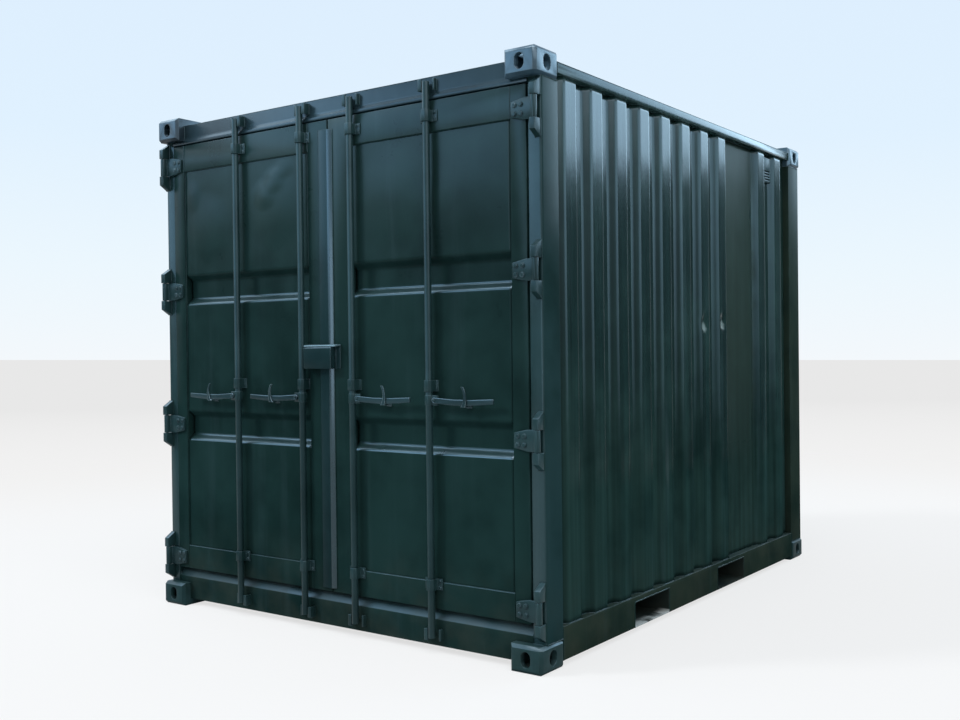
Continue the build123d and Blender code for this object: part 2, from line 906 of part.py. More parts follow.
def handle(x):
    """One flat handle, dipping slightly to its holder, on the hub's pin."""
    start = x + handle_pivot
    end = x + handle_length
    low = handle_z - handle_sag
    half = handle_bar / 2
    dip_start = x + holder_offset - handle_dip_before
    dip_end = x + holder_offset + handle_dip_after
    with BuildPart() as bar:
        with BuildSketch(Plane.XZ.offset(-bar_back_y)):
            with BuildLine():
                Polyline(
                    (start, handle_z - half),
                    (dip_start, low - half),
                    (dip_end, low - half),
                    (end, handle_z - half + handle_end_taper),
                    (end, handle_z + half - handle_end_taper),
                    (dip_end, low + half),
                    (dip_start, low + half),
                    (start, handle_z + half),
                    close=True,
                )
            make_face()
            with Locations((start, handle_z)):
                Circle(half)
            with Locations((start, handle_z)):
                Circle(handle_pin_radius + hinge_bore_clearance, mode=Mode.SUBTRACT)
        extrude(amount=handle_thickness)
    return bar


def overlap_plate():
    """Strip on the right-hand leaf that covers the joint, sloping down to its weld."""
    front = leaf_front_y - 2 * overlap_thickness
    with BuildPart() as plate:
        with BuildSketch(Plane.XY.offset(overlap_bottom)):
            with BuildLine():
                Polyline(
                    (-overlap_left, front),
                    (leaf_inner_x, front),
                    (overlap_right, leaf_front_y - overlap_edge),
                    (overlap_right, leaf_front_y),
                    (leaf_inner_x, leaf_front_y),
                    (leaf_inner_x, front + overlap_thickness),
                    (-overlap_left, front + overlap_thickness),
                    close=True,
                )
            make_face()
        extrude(amount=overlap_top - overlap_bottom)
    return plate


def lock_box():
    """Padlock box over the joint, with a sloped top edge, open below and behind."""
    front = door_y + box_front
    strip_front = leaf_front_y - 2 * overlap_thickness
    with BuildPart() as box:
        for inset, mode in ((0, Mode.ADD), (box_wall, Mode.SUBTRACT)):
            top = box_top - inset
            with BuildSketch(Plane.YZ.offset(box_left + inset)):
                with BuildLine():
                    Polyline(
                        (front + inset, box_bottom),
                        (front + inset, top - box_slope),
                        (front + inset + box_slope, top),
                        (strip_front, top),
                        (strip_front, box_bottom),
                        close=True,
                    )
                make_face()
            extrude(amount=box_right - box_left - 2 * inset, mode=mode)
        block((box_right - box_wall, box_right), (strip_front, leaf_front_y), (box_bottom, box_top))
        block(
            (overlap_right, box_plate_right),
            (leaf_front_y - box_wall, leaf_front_y),
            (box_bottom, box_top),
        )
    return box


# Frame
first_bottom = bottom_casting()
first_top = mirrored(first_bottom, Plane.XY.offset(height / 2))
write_piece(four_castings(first_bottom), "bottom_corner_castings")
write_piece(four_castings(first_top), "top_corner_castings")

right_sides = {
    "corner_post_door": door_post(),
    "corner_post_rear": rear_post(),
    "side_wall": side_wall(),
    "top_side_rail": top_side_rail(),
    "bottom_side_rail": bottom_side_rail(),
}
for name, piece in right_sides.items():
    write_piece(piece, f"{name}_right")
    write_piece(mirrored(piece), f"{name}_left")

write_piece(door_header(), "door_header")
write_piece(door_sill(), "door_sill")
write_piece(cam_keepers(), "cam_keepers")
write_piece(hinge_lugs(), "hinge_lugs")
write_piece(end_wall(), "end_wall")
rear_top, rear_bottom = rear_rails()
write_piece(rear_top, "rear_top_rail")
write_piece(rear_bottom, "rear_sill")
write_piece(fork_pockets(), "fork_pockets")
write_piece(cross_members(), "cross_members")
write_piece(floor_boards(), "floor_boards")
write_piece(roof_panel(), "roof_panel")
write_piece(side_vent(), "side_vent")

# Doors
right_door = {
    "door_frame": door_frame(),
    "door_panel": door_panel(),
    "door_gasket": door_gasket(),
    "hinge_blades": hinge_blades(),
    "rod_guides": rod_guides(),
    "handle_holders": handle_holders(),
    "inner_lock_rod": lock_rod(inner_rod_x),
    "outer_lock_rod": lock_rod(outer_rod_x),
    "inner_handle": handle(inner_rod_x),
    "outer_handle": handle(outer_rod_x),
}
for name, piece in right_door.items():
    write_piece(piece, f"{name}_right")
    write_piece(mirrored(piece), f"{name}_left")

write_piece(overlap_plate(), "overlap_plate")
write_piece(lock_box(), "lock_box")
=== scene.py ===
import bpy
import bmesh
import json
import math
from mathutils import Vector, Matrix


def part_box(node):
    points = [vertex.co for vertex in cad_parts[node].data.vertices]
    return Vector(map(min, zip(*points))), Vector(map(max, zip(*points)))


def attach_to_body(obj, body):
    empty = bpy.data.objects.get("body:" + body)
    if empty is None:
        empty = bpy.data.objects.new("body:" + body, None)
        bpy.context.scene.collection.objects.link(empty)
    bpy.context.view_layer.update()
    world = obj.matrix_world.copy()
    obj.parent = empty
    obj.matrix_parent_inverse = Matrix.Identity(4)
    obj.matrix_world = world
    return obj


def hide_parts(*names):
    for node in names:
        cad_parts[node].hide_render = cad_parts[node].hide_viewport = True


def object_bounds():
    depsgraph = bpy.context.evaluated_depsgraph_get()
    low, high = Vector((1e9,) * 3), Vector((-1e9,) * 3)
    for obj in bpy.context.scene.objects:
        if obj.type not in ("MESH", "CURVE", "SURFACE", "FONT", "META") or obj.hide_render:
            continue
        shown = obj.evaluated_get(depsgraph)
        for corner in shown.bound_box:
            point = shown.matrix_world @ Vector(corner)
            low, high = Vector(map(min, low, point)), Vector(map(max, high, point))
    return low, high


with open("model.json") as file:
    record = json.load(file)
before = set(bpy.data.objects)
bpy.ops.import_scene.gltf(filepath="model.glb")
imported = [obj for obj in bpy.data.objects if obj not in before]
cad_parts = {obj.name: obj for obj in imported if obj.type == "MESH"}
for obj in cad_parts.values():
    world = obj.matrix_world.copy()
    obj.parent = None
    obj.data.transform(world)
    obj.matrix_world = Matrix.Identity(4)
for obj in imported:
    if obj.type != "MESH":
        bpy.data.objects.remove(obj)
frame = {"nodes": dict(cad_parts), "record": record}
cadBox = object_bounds()
scene = bpy.context.scene
record = frame["record"]
bodyOf = {node: body for body, nodes in record["behaviour"]["bodies"].items() for node in nodes}
slotOf = {part["node"]: part["material_slot"] for part in record["subparts"]}

# places that several pieces share, in metres
frontY = cadBox[0].y        # plane of the castings at the door end
postFace = frontY + 0.05    # front of the door posts, header and sill
leafFace = frontY + 0.044   # front of the door leaves' frames
wallEnd = 1.346             # the walls run from -wallEnd to wallEnd
railFace = 1.213            # outside of posts and rails
castingEnd = 1.057          # inner end of the castings
hingeHeights = (0.255, 0.9646, 1.6742, 2.342)
rodPlaces = (0.165, 0.625)
pocketPlaces = (-0.533, 0.407)
sheetThickness = 0.002
sideSigns = {"right": 1, "left": -1}
print("frame loaded:", len(frame["nodes"]), "nodes")


# small helpers for node trees
def add(tree, kind, inputs=None, **settings):
    node = tree.nodes.new(kind)
    for name, value in settings.items():
        setattr(node, name, value)
    for key, value in (inputs or {}).items():
        fill(tree, node.inputs[key], value)
    return node


def fill(tree, socket, value):
    if isinstance(value, bpy.types.NodeSocket):
        tree.links.new(value, socket)
    else:
        socket.default_value = value


def calc(tree, operation, a, b=0.0, clamp=False):
    node = add(tree, "ShaderNodeMath", {0: a, 1: b}, operation=operation, use_clamp=clamp)
    return node.outputs[0]


def plus(tree, a, b, clamp=False):
    return calc(tree, "ADD", a, b, clamp)


def minus(tree, a, b):
    return calc(tree, "SUBTRACT", a, b)


def times(tree, a, b, clamp=False):
    return calc(tree, "MULTIPLY", a, b, clamp)


def spread(tree, value, low, high, toLow=0.0, toHigh=1.0, shape="SMOOTHSTEP"):
    return add(tree, "ShaderNodeMapRange", {0: value, 1: low, 2: high, 3: toLow, 4: toHigh},
               interpolation_type=shape).outputs[0]


def slide(tree, value, low, high, toLow=0.0, toHigh=1.0):
    return spread(tree, value, low, high, toLow, toHigh, "LINEAR")


def mixColour(tree, factor, a, b, blend="MIX"):
    return add(tree, "ShaderNodeMix", {0: factor, 6: a, 7: b}, data_type="RGBA", blend_type=blend).outputs[2]


def shadeColour(tree, colour, shade):
    grey = add(tree, "ShaderNodeCombineColor", dict.fromkeys(("Red", "Green", "Blue"), shade)).outputs[0]
    return mixColour(tree, 1.0, colour, grey, "MULTIPLY")


def noise(tree, vector, scale, detail=3.0, roughness=0.55, distortion=0.0):
    return add(tree, "ShaderNodeTexNoise", {"Vector": vector, "Scale": scale, "Detail": detail,
                                            "Roughness": roughness, "Distortion": distortion}).outputs["Fac"]


def stretched(tree, vector, scale):
    return add(tree, "ShaderNodeMapping", {"Vector": vector, "Scale": scale}).outputs[0]


def srgb(r, g, b):
    return tuple(((c / 255 + 0.055) / 1.055) ** 2.4 if c > 10 else c / 255 / 12.92 for c in (r, g, b)) + (1.0,)


def newMaterial(name):
    material = bpy.data.materials.new(name)
    material.use_nodes = True
    material.node_tree.nodes.clear()
    return material, material.node_tree


def closeMaterial(tree, shader):
    tree.links.new(shader.outputs[0], add(tree, "ShaderNodeOutputMaterial").inputs[0])


# Paint. The sheen is the specular level: it grows with height from "from" up to "top", and "front", "side"
# and "up" are added on faces that are turned that way.
# the chalk colour goes on worn edges and also stands in for highlights on edges (painted highlight)
plainPaint = {
    "deep": srgb(16, 34, 33), "pale": srgb(28, 48, 46), "chalk": srgb(92, 116, 126), "rust": srgb(70, 52, 40),
    "gloss": 0.24, "sheen": 0.0, "top": 0.0, "fade": 2.0, "from": 0.3, "front": 0.0, "side": 0.0, "up": 0.3,
    "lines": 0.0, "streaks": 0.1, "edgeWear": 0.5, "grain": 0.10, "dirt": 0.5}
doorColours = {"deep": srgb(15, 32, 31), "pale": srgb(23, 43, 42)}
castingLook = {"chalk": srgb(108, 132, 144), "gloss": 0.34, "sheen": 0.03, "fade": 1.6, "streaks": 0.2,
               "edgeWear": 0.9, "grain": 0.45, "dirt": 0.6}
paintLooks = {
    "wallPaint": {"gloss": 0.17, "top": 0.46, "fade": 1.2, "from": 0.7, "up": 0.4, "lines": 0.24,
                  "streaks": 0.2, "grain": 0.06},
    "doorPaint": {**doorColours, "gloss": 0.28, "top": 0.34, "fade": 3.0, "up": 1.6, "streaks": 0.07,
                  "dirt": 0.9},
    "sillPaint": {**doorColours, "gloss": 0.34, "up": 0.8, "dirt": 1.0, "edgeWear": 0.8},
    "platePaint": {"deep": srgb(15, 32, 34), "pale": srgb(23, 43, 46), "gloss": 0.25, "sheen": 0.03,
                   "top": 0.3, "fade": 3.0, "side": 0.6, "up": 0.9},
    "postPaint": {"deep": srgb(18, 37, 37), "pale": srgb(30, 51, 53), "top": 0.04, "from": 0.6, "front": 0.30},
    "headerPaint": {"deep": srgb(18, 33, 38), "pale": srgb(30, 47, 53), "front": 0.36, "up": 0.6},
    # a lit copy of the paint for the ledge over the lock box: its pale colour is a painted highlight
    "ledgePaint": {"deep": srgb(62, 84, 92), "pale": srgb(96, 120, 130), "front": 0.6, "up": 1.0},
    "dullPaint": {"deep": srgb(19, 33, 30), "pale": srgb(33, 45, 39), "gloss": 0.42, "top": 0.06, "dirt": 0.9,
                  "edgeWear": 0.8},
    "fittingsPaint": {"deep": srgb(16, 34, 35), "pale": srgb(31, 52, 54), "chalk": srgb(104, 128, 138),
                      "gloss": 0.30, "sheen": 0.16, "top": 0.2, "fade": 2.6, "up": 1.0, "edgeWear": 1.3,
                      "grain": 0.16},
    # the handles' pale chalk edges are painted highlights as well as wear
    "handlePaint": {"deep": srgb(15, 32, 34), "pale": srgb(30, 50, 54), "chalk": srgb(146, 168, 176),
                    "gloss": 0.30, "sheen": 0.25, "up": 3.2, "streaks": 0.0, "edgeWear": 2.2, "grain": 0.2,
                    "dirt": 0.2},
    "castingPaint": {**castingLook, "deep": srgb(22, 40, 41), "pale": srgb(35, 56, 58), "top": 0.7, "up": 0.8},
    # the top castings are a lighter copy of the casting paint: painted highlight
    "topCastingPaint": {**castingLook, "deep": srgb(28, 46, 54), "pale": srgb(46, 68, 80), "top": 0.8,
                        "up": 0.9},
    "underframePaint": {"deep": srgb(12, 20, 20), "pale": srgb(22, 31, 30), "chalk": srgb(140, 146, 146),
                        "gloss": 0.6, "sheen": 0.03, "up": 0.03, "streaks": 0.0, "edgeWear": 0.7, "grain": 0.3,
                        "dirt": 0.9},
}
dustColour = srgb(74, 72, 62)
specularTint = (0.68, 0.86, 1.0, 1.0)
# pale spots on the two dents in the right wall: painted highlights
dentHighlights = {"places": ((1.2, 0.105, 1.45), (1.2, 0.345, 1.465)), "reach": (0.038, 0.012), "ragged": 0.03,
          "share": 0.55, "colour": srgb(128, 146, 146)}
dullStretch = {"from": (0.38, 0.46), "to": (0.86, 0.80), "below": (2.508, 2.5), "colour": srgb(44, 56, 50)}


# the plain stretch is dull and brownish, the two dents get pale spots as painted highlights, and the blind end
# shines less
def wearAndHighlightWall(tree, paint):
    x, y, z = paint["axes"]
    onSide = spread(tree, calc(tree, "ABSOLUTE", x), 1.12, 1.16)
    spot = plus(tree, y, times(tree, minus(tree, paint["cloud"], 0.5), 0.12))
    dull = times(tree, spread(tree, spot, *dullStretch["from"]), spread(tree, spot, *dullStretch["to"]))
    dull = times(tree, times(tree, dull, onSide), spread(tree, z, 0.5, 1.4, 0.35, 1.0))
    dull = times(tree, dull, spread(tree, z, *dullStretch["below"]))
    sheen = times(tree, paint["sheen"], slide(tree, y, -1.0, 1.2, 1.0, 0.62))
    paint["sheen"] = times(tree, sheen, slide(tree, dull, 0.0, 1.0, 1.0, 0.22))
    paint["gloss"] = plus(tree, paint["gloss"], times(tree, dull, 0.2))
    colour = mixColour(tree, times(tree, dull, 0.5), paint["colour"], dullStretch["colour"])
    # painted highlights on the two dents
    for place in dentHighlights["places"]:
        away = add(tree, "ShaderNodeVectorMath", {0: paint["place"], 1: place}, operation="DISTANCE")
        ragged = times(tree, minus(tree, paint["fine"], 0.5), dentHighlights["ragged"])
        dentGlint = spread(tree, plus(tree, away.outputs["Value"], ragged), *dentHighlights["reach"])
        colour = mixColour(tree, times(tree, dentGlint, dentHighlights["share"]), colour, dentHighlights["colour"])
    paint["colour"] = colour


# the left leaf shines less
def wearDoors(tree, paint):
    paint["sheen"] = times(tree, paint["sheen"], slide(tree, paint["axes"][0], -1.2, 1.2, 0.7, 1.15))


# painted shade: the top castings grow darker towards the left
def shadeLeftCastings(tree, paint):
    paint["colour"] = shadeColour(tree, paint["colour"], spread(tree, paint["axes"][0], -1.0, 1.0, 0.35, 1.0))


# a painted highlight along the near fork pocket's lower edge
def highlightPocketEdge(tree, paint):
    x, y, z = paint["axes"]
    pocketHighlight = times(tree, spread(tree, z, 0.045, 0.034), spread(tree, x, 1.14, 1.19))
    pocketHighlight = times(tree, pocketHighlight, spread(tree, y, -0.3, -0.36))
    pocketHighlight = times(tree, pocketHighlight, spread(tree, paint["cloud"], 0.36, 0.5))
    paint["colour"] = mixColour(tree, pocketHighlight, paint["colour"], paint["look"]["chalk"])


ownWearAndLight = {"wallPaint": wearAndHighlightWall, "doorPaint": wearDoors, "topCastingPaint": shadeLeftCastings,
           "underframePaint": highlightPocketEdge}


def makePaint(name, look):
    material, tree = newMaterial(name)
    place = add(tree, "ShaderNodeTexCoord").outputs["Object"]
    axes = add(tree, "ShaderNodeSeparateXYZ", {0: place}).outputs
    z = axes["Z"]
    broad = noise(tree, place, 0.9, 3)
    cloud = noise(tree, place, 5.5, 4)
    fine = noise(tree, place, 60.0, 4)
    streak = spread(tree, noise(tree, stretched(tree, place, (11.0, 11.0, 0.55)), 1.0, 5, 0.6), 0.52, 0.74)

    # pale edges where the rounded normal departs from the flat one, stronger higher up: partly worn paint and
    # partly painted highlight
    rounded = add(tree, "ShaderNodeBevel", {"Radius": 0.004}, samples=4)
    flat = add(tree, "ShaderNodeNewGeometry")
    bend = add(tree, "ShaderNodeVectorMath", {0: rounded.outputs[0], 1: flat.outputs["Normal"]},
               operation="DOT_PRODUCT").outputs["Value"]
    edge = spread(tree, bend, 0.985, 0.86)
    wearAndHighlight = times(tree, edge, spread(tree, noise(tree, place, 16.0, 5), 0.38, 0.62))
    wearAndHighlight = times(tree, wearAndHighlight, times(tree, slide(tree, z, 0.1, 2.6, 0.35, 1.0), look["edgeWear"]), clamp=True)
    low = spread(tree, z, 0.55, 0.02)
    dust = times(tree, low, spread(tree, noise(tree, place, 7.0, 6), 0.3, 0.75))
    dust = times(tree, dust, look["dirt"], clamp=True)
    spots = spread(tree, noise(tree, place, 34.0, 6, 0.7), 0.66, 0.74)
    rusty = times(tree, spots, plus(tree, times(tree, edge, 0.6), dust), clamp=True)

    tone = plus(tree, times(tree, broad, 0.65), times(tree, cloud, 0.35))
    colour = mixColour(tree, spread(tree, tone, 0.38, 0.62), look["deep"], look["pale"])
    line = noise(tree, stretched(tree, place, (30.0, 30.0, 0.5)), 1.0, 4, 0.6)
    line = slide(tree, line, 0.35, 0.65, -look["lines"], look["lines"])
    colour = shadeColour(tree, colour, plus(tree, line, 1.0))
    colour = mixColour(tree, times(tree, streak, look["streaks"] * 0.35), colour, look["chalk"])
    # pale chalk along edges: partly wear, partly painted highlight
    colour = mixColour(tree, times(tree, wearAndHighlight, 0.55), colour, look["chalk"])
    colour = mixColour(tree, times(tree, dust, 0.16), colour, dustColour)
    colour = mixColour(tree, times(tree, rusty, 0.8), colour, look["rust"])
    gloss = plus(tree, look["gloss"], times(tree, minus(tree, cloud, 0.5), 0.04))
    gloss = plus(tree, gloss, times(tree, dust, 0.25))
    gloss = plus(tree, gloss, times(tree, rusty, 0.3), clamp=True)
    height = plus(tree, times(tree, fine, look["grain"]), times(tree, cloud, 0.5))
    height = minus(tree, height, times(tree, rusty, 0.12))
    relief = add(tree, "ShaderNodeBump", {"Height": height, "Normal": rounded.outputs[0], "Strength": 0.35,
                                          "Distance": 0.004})

    # the paint keeps its sheen high up and is dulled by dust lower down
    level = slide(tree, plus(tree, z, times(tree, streak, 0.15)), look["from"], 2.6)
    facing = add(tree, "ShaderNodeSeparateXYZ", {0: flat.outputs["True Normal"]}).outputs
    sheen = times(tree, calc(tree, "POWER", level, look["fade"]), look["top"])
    sheen = plus(tree, sheen, spread(tree, facing["Z"], 0.1, 0.6, look["sheen"], look["up"]))
    sheen = plus(tree, sheen, spread(tree, facing["Y"], -0.5, -0.9, 0.0, look["front"]))
    sheen = plus(tree, sheen, spread(tree, facing["X"], 0.15, 0.3, 0.0, look["side"]))
    sheen = times(tree, sheen, spread(tree, facing["Z"], -0.5, -0.03, 0.15, 1.0))

    paint = {"place": place, "axes": (axes["X"], axes["Y"], z), "cloud": cloud, "fine": fine, "look": look,
             "colour": colour, "gloss": gloss, "sheen": sheen}
    if name in ownWearAndLight:
        ownWearAndLight[name](tree, paint)
    closeMaterial(tree, add(tree, "ShaderNodeBsdfPrincipled", {
        "Base Color": paint["colour"], "Roughness": paint["gloss"], "Normal": relief.outputs[0],
        "Specular IOR Level": paint["sheen"], "Specular Tint": specularTint}))
    return material


def makeRubber(name):
    material, tree = newMaterial(name)
    place = add(tree, "ShaderNodeTexCoord").outputs["Object"]
    cloud = noise(tree, place, 9.0, 5)
    colour = mixColour(tree, spread(tree, cloud, 0.35, 0.7), srgb(40, 54, 56), srgb(66, 82, 84))
    relief = add(tree, "ShaderNodeBump", {"Height": noise(tree, place, 180.0, 3), "Strength": 0.3,
                                          "Distance": 0.001})
    closeMaterial(tree, add(tree, "ShaderNodeBsdfPrincipled", {
        "Base Color": colour, "Roughness": spread(tree, cloud, 0.2, 0.8, 0.6, 0.8), "Normal": relief.outputs[0],
        "Specular IOR Level": 0.35}))
    return material


def makePlywood(name):
    material, tree = newMaterial(name)
    place = add(tree, "ShaderNodeTexCoord").outputs["Object"]
    grain = noise(tree, stretched(tree, place, (22.0, 1.6, 22.0)), 1.0, 6, 0.65, 0.8)
    dentGlint = noise(tree, place, 6.0, 6, 0.7)
    colour = mixColour(tree, spread(tree, grain, 0.3, 0.7), srgb(104, 74, 48), srgb(150, 112, 76))
    colour = mixColour(tree, spread(tree, dentGlint, 0.52, 0.75, 0.0, 0.6), colour, srgb(82, 72, 62))
    relief = add(tree, "ShaderNodeBump", {"Height": grain, "Strength": 0.25, "Distance": 0.001})
    closeMaterial(tree, add(tree, "ShaderNodeBsdfPrincipled", {
        "Base Color": colour, "Roughness": spread(tree, dentGlint, 0.3, 0.7, 0.45, 0.7),
        "Normal": relief.outputs[0]}))
    return material


finishes = {name: makePaint(name, {**plainPaint, **look}) for name, look in paintLooks.items()}
finishes["sealRubber"] = makeRubber("sealRubber")
finishes["floorPlywood"] = makePlywood("floorPlywood")
# by the start of a node's name, and by its slot for the rest
ownFinish = {"top_corner_castings": "topCastingPaint", "door_panel": "doorPaint", "door_frame": "doorPaint",
             "overlap_plate": "platePaint", "door_header": "headerPaint", "door_sill": "sillPaint",
             "corner_post_door": "postPaint", "corner_post_rear": "dullPaint", "bottom_side_rail": "dullPaint",
             "lock_box": "platePaint", "inner_handle": "handlePaint", "outer_handle": "handlePaint",
             "handle_holders": "handlePaint"}
finishOf = {"wall_paint": "wallPaint", "fittings_paint": "fittingsPaint", "casting_paint": "castingPaint",
            "underframe_paint": "underframePaint", "gasket_rubber": "sealRubber",
            "floor_plywood": "floorPlywood"}


def finishFor(node):
    own = [finish for start, finish in ownFinish.items() if node.startswith(start)]
    return finishes[own[0] if own else finishOf[slotOf[node]]]


for node, cadObject in frame["nodes"].items():
    cadObject.data.materials.clear()
    cadObject.data.materials.append(finishFor(node))
print("finishes made:", ", ".join(finishes))


# Geometry Nodes
def newTree(name, sockets):
    tree = bpy.data.node_groups.new(name, "GeometryNodeTree")
    tree.interface.new_socket("Geometry", in_out="OUTPUT", socket_type="NodeSocketGeometry")
    tree.interface.new_socket("Geometry", in_out="INPUT", socket_type="NodeSocketGeometry")
    tree.interface.new_socket("Material", in_out="INPUT", socket_type="NodeSocketMaterial")
    for label, kind, value in sockets:
        socket = tree.interface.new_socket(label, in_out="INPUT", socket_type="NodeSocket" + kind)
        socket.default_value = value
    return tree, tree.nodes.new("NodeGroupInput").outputs, tree.nodes.new("NodeGroupOutput")


def closeTree(tree, shape, sizes, end):
    real = add(tree, "GeometryNodeRealizeInstances", {"Geometry": shape}).outputs[0]
    last = add(tree, "GeometryNodeSetMaterial", {"Geometry": real, "Material": sizes["Material"]}).outputs[0]
    tree.links.new(last, end.inputs[0])
    return tree


def smoothed(tree, shape):
    return add(tree, "GeometryNodeSetShadeSmooth", {"Geometry": shape}).outputs[0]


def newPiece(name, points, edges=(), faces=()):
    mesh = bpy.data.meshes.new(name)
    mesh.from_pydata([tuple(p) for p in points], edges, faces)
    piece = bpy.data.objects.new(name, mesh)
    scene.collection.objects.link(piece)
    return piece


def runTree(name, tree, values, points=(), edges=()):
    piece = newPiece(name, points, edges)
    modifier = piece.modifiers.new("shape", "NODES")
    modifier.node_group = tree
    for socket in tree.interface.items_tree:
        if socket.in_out == "INPUT" and socket.name in values:
            modifier[socket.identifier] = values[socket.name]
    return finished(piece)


# the modifiers' result becomes the piece's own mesh
def finished(piece):
    depsgraph = bpy.context.evaluated_depsgraph_get()
    depsgraph.update()
    mesh = bpy.data.meshes.new_from_object(piece.evaluated_get(depsgraph), depsgraph=depsgraph)
    piece.modifiers.clear()
    piece.data = mesh
    return piece


# a sheet pressed into one or two runs of trapezoid ribs, lying in XY with the ribs along Y
def pressedSheetTree():
    tree, sizes, end = newTree("pressedSheet", [
        ("Length", "Float", 2.7), ("Height", "Float", 2.3), ("Columns", "Int", 400), ("Rows", "Int", 40),
        ("Pitch", "Float", 0.222), ("Crest", "Float", 0.108), ("Slope", "Float", 0.028),
        ("Bend", "Float", 0.006), ("Depth", "Float", 0.032), ("First Rib", "Float", 0.03),
        ("Rib Count", "Int", 8), ("Second Rib", "Float", -50.0), ("Second Count", "Int", 1),
        ("Second Pitch", "Float", 0.257), ("End Margin", "Float", -1.0), ("End Slope", "Float", 0.04),
        ("Wave", "Float", 0.0015), ("Wave Scale", "Float", 2.5), ("Seed", "Float", 1.0)])
    grid = add(tree, "GeometryNodeMeshGrid", {"Size X": sizes["Length"], "Size Y": sizes["Height"],
                                              "Vertices X": sizes["Columns"], "Vertices Y": sizes["Rows"]})
    position = add(tree, "GeometryNodeInputPosition").outputs[0]
    where = add(tree, "ShaderNodeSeparateXYZ", {0: position}).outputs
    halfLength = times(tree, sizes["Length"], 0.5)
    u = plus(tree, where["X"], halfLength)
    halfCrest = times(tree, sizes["Crest"], 0.5)
    inside = minus(tree, halfCrest, sizes["Bend"])
    outside = plus(tree, plus(tree, halfCrest, sizes["Slope"]), sizes["Bend"])
    ribs = []
    for first, count, pitch in (("First Rib", "Rib Count", "Pitch"),
                                ("Second Rib", "Second Count", "Second Pitch")):
        fromCentre = minus(tree, minus(tree, u, sizes[first]), halfCrest)
        index = calc(tree, "ROUND", calc(tree, "DIVIDE", fromCentre, sizes[pitch]))
        index = calc(tree, "MINIMUM", calc(tree, "MAXIMUM", index, 0.0), minus(tree, sizes[count], 1.0))
        off = calc(tree, "ABSOLUTE", minus(tree, fromCentre, times(tree, index, sizes[pitch])))
        ribs.append(spread(tree, off, outside, inside))
    rib = calc(tree, "MAXIMUM", ribs[0], ribs[1])
    fromEnd = minus(tree, times(tree, sizes["Height"], 0.5), calc(tree, "ABSOLUTE", where["Y"]))
    fromSide = minus(tree, halfLength, calc(tree, "ABSOLUTE", where["X"]))
    endSlope = plus(tree, sizes["End Margin"], sizes["End Slope"])
    rib = times(tree, rib, spread(tree, fromEnd, sizes["End Margin"], endSlope))
    # a slow wave of the sheet, held at its edges
    spot = add(tree, "ShaderNodeCombineXYZ", {"X": where["X"], "Y": where["Y"], "Z": sizes["Seed"]}).outputs[0]
    wave = minus(tree, noise(tree, spot, sizes["Wave Scale"], 2.0), 0.5)
    held = spread(tree, calc(tree, "MINIMUM", fromEnd, fromSide), 0.0, 0.18)
    wave = times(tree, times(tree, wave, sizes["Wave"]), held)
    lift = plus(tree, times(tree, rib, sizes["Depth"]), wave)
    offset = add(tree, "ShaderNodeCombineXYZ", {"Z": lift}).outputs[0]
    shape = add(tree, "GeometryNodeSetPosition", {"Geometry": grid.outputs["Mesh"],
                                                  "Offset": offset}).outputs[0]
    return closeTree(tree, smoothed(tree, shape), sizes, end)


# a bead of weld metal along every edge of the mesh that it is given
def weldTree():
    tree, sizes, end = newTree("weldBead", [("Radius", "Float", 0.003), ("Step", "Float", 0.011),
                                            ("Unevenness", "Float", 0.35), ("Seed", "Float", 3.0)])
    path = add(tree, "GeometryNodeMeshToCurve", {"Mesh": sizes["Geometry"]}).outputs[0]
    path = add(tree, "GeometryNodeResampleCurve", {"Curve": path, "Length": sizes["Step"]},
               mode="LENGTH").outputs[0]
    section = add(tree, "GeometryNodeCurvePrimitiveCircle", {"Resolution": 5, "Radius": sizes["Radius"]})
    place = add(tree, "GeometryNodeInputPosition").outputs[0]
    seed = add(tree, "ShaderNodeCombineXYZ", {"X": sizes["Seed"]}).outputs[0]
    seeded = add(tree, "ShaderNodeVectorMath", {0: place, 1: seed}, operation="ADD").outputs[0]
    ripple = minus(tree, noise(tree, seeded, 55.0, 2.0), 0.5)
    scale = plus(tree, 1.0, times(tree, times(tree, ripple, 2.0), sizes["Unevenness"]))
    bead = add(tree, "GeometryNodeCurveToMesh", {"Curve": path, "Profile Curve": section.outputs[0],
                                                 "Scale": scale, "Fill Caps": True}).outputs[0]
    return closeTree(tree, smoothed(tree, bead), sizes, end)


# a bolt head with its washer on every point, facing -Y
def boltTree():
    tree, sizes, end = newTree("boltHead", [("Radius", "Float", 0.008), ("Height", "Float", 0.006),
                                            ("Turn", "Float", 0.4), ("Seed", "Int", 2)])
    both = add(tree, "GeometryNodeJoinGeometry")
    # sides, share of the radius, share of the height, how far its middle is raised
    for count, wide, tall, raised in ((12, 1.35, 0.35, 0.175), (6, 1.0, 1.0, 0.5)):
        disc = add(tree, "GeometryNodeMeshCylinder", {
            "Vertices": count, "Radius": times(tree, sizes["Radius"], wide),
            "Depth": times(tree, sizes["Height"], tall)}).outputs[0]
        lift = add(tree, "ShaderNodeCombineXYZ", {"Z": times(tree, sizes["Height"], raised)}).outputs[0]
        disc = add(tree, "GeometryNodeTransform", {"Geometry": disc, "Translation": lift}).outputs[0]
        tree.links.new(disc, both.inputs[0])
    spin = add(tree, "FunctionNodeRandomValue", {"Min": 0.0, "Max": sizes["Turn"], "Seed": sizes["Seed"]},
               data_type="FLOAT")
    turned = add(tree, "ShaderNodeCombineXYZ", {"X": math.radians(90), "Y": spin.outputs[1]}).outputs[0]
    rotation = add(tree, "FunctionNodeEulerToRotation", {0: turned}).outputs[0]
    heads = add(tree, "GeometryNodeInstanceOnPoints", {"Points": sizes["Geometry"], "Instance": both.outputs[0],
                                                       "Rotation": rotation}).outputs[0]
    return closeTree(tree, heads, sizes, end)


pressedSheet, weldBead, boltHead = pressedSheetTree(), weldTree(), boltTree()
print("geometry trees made")


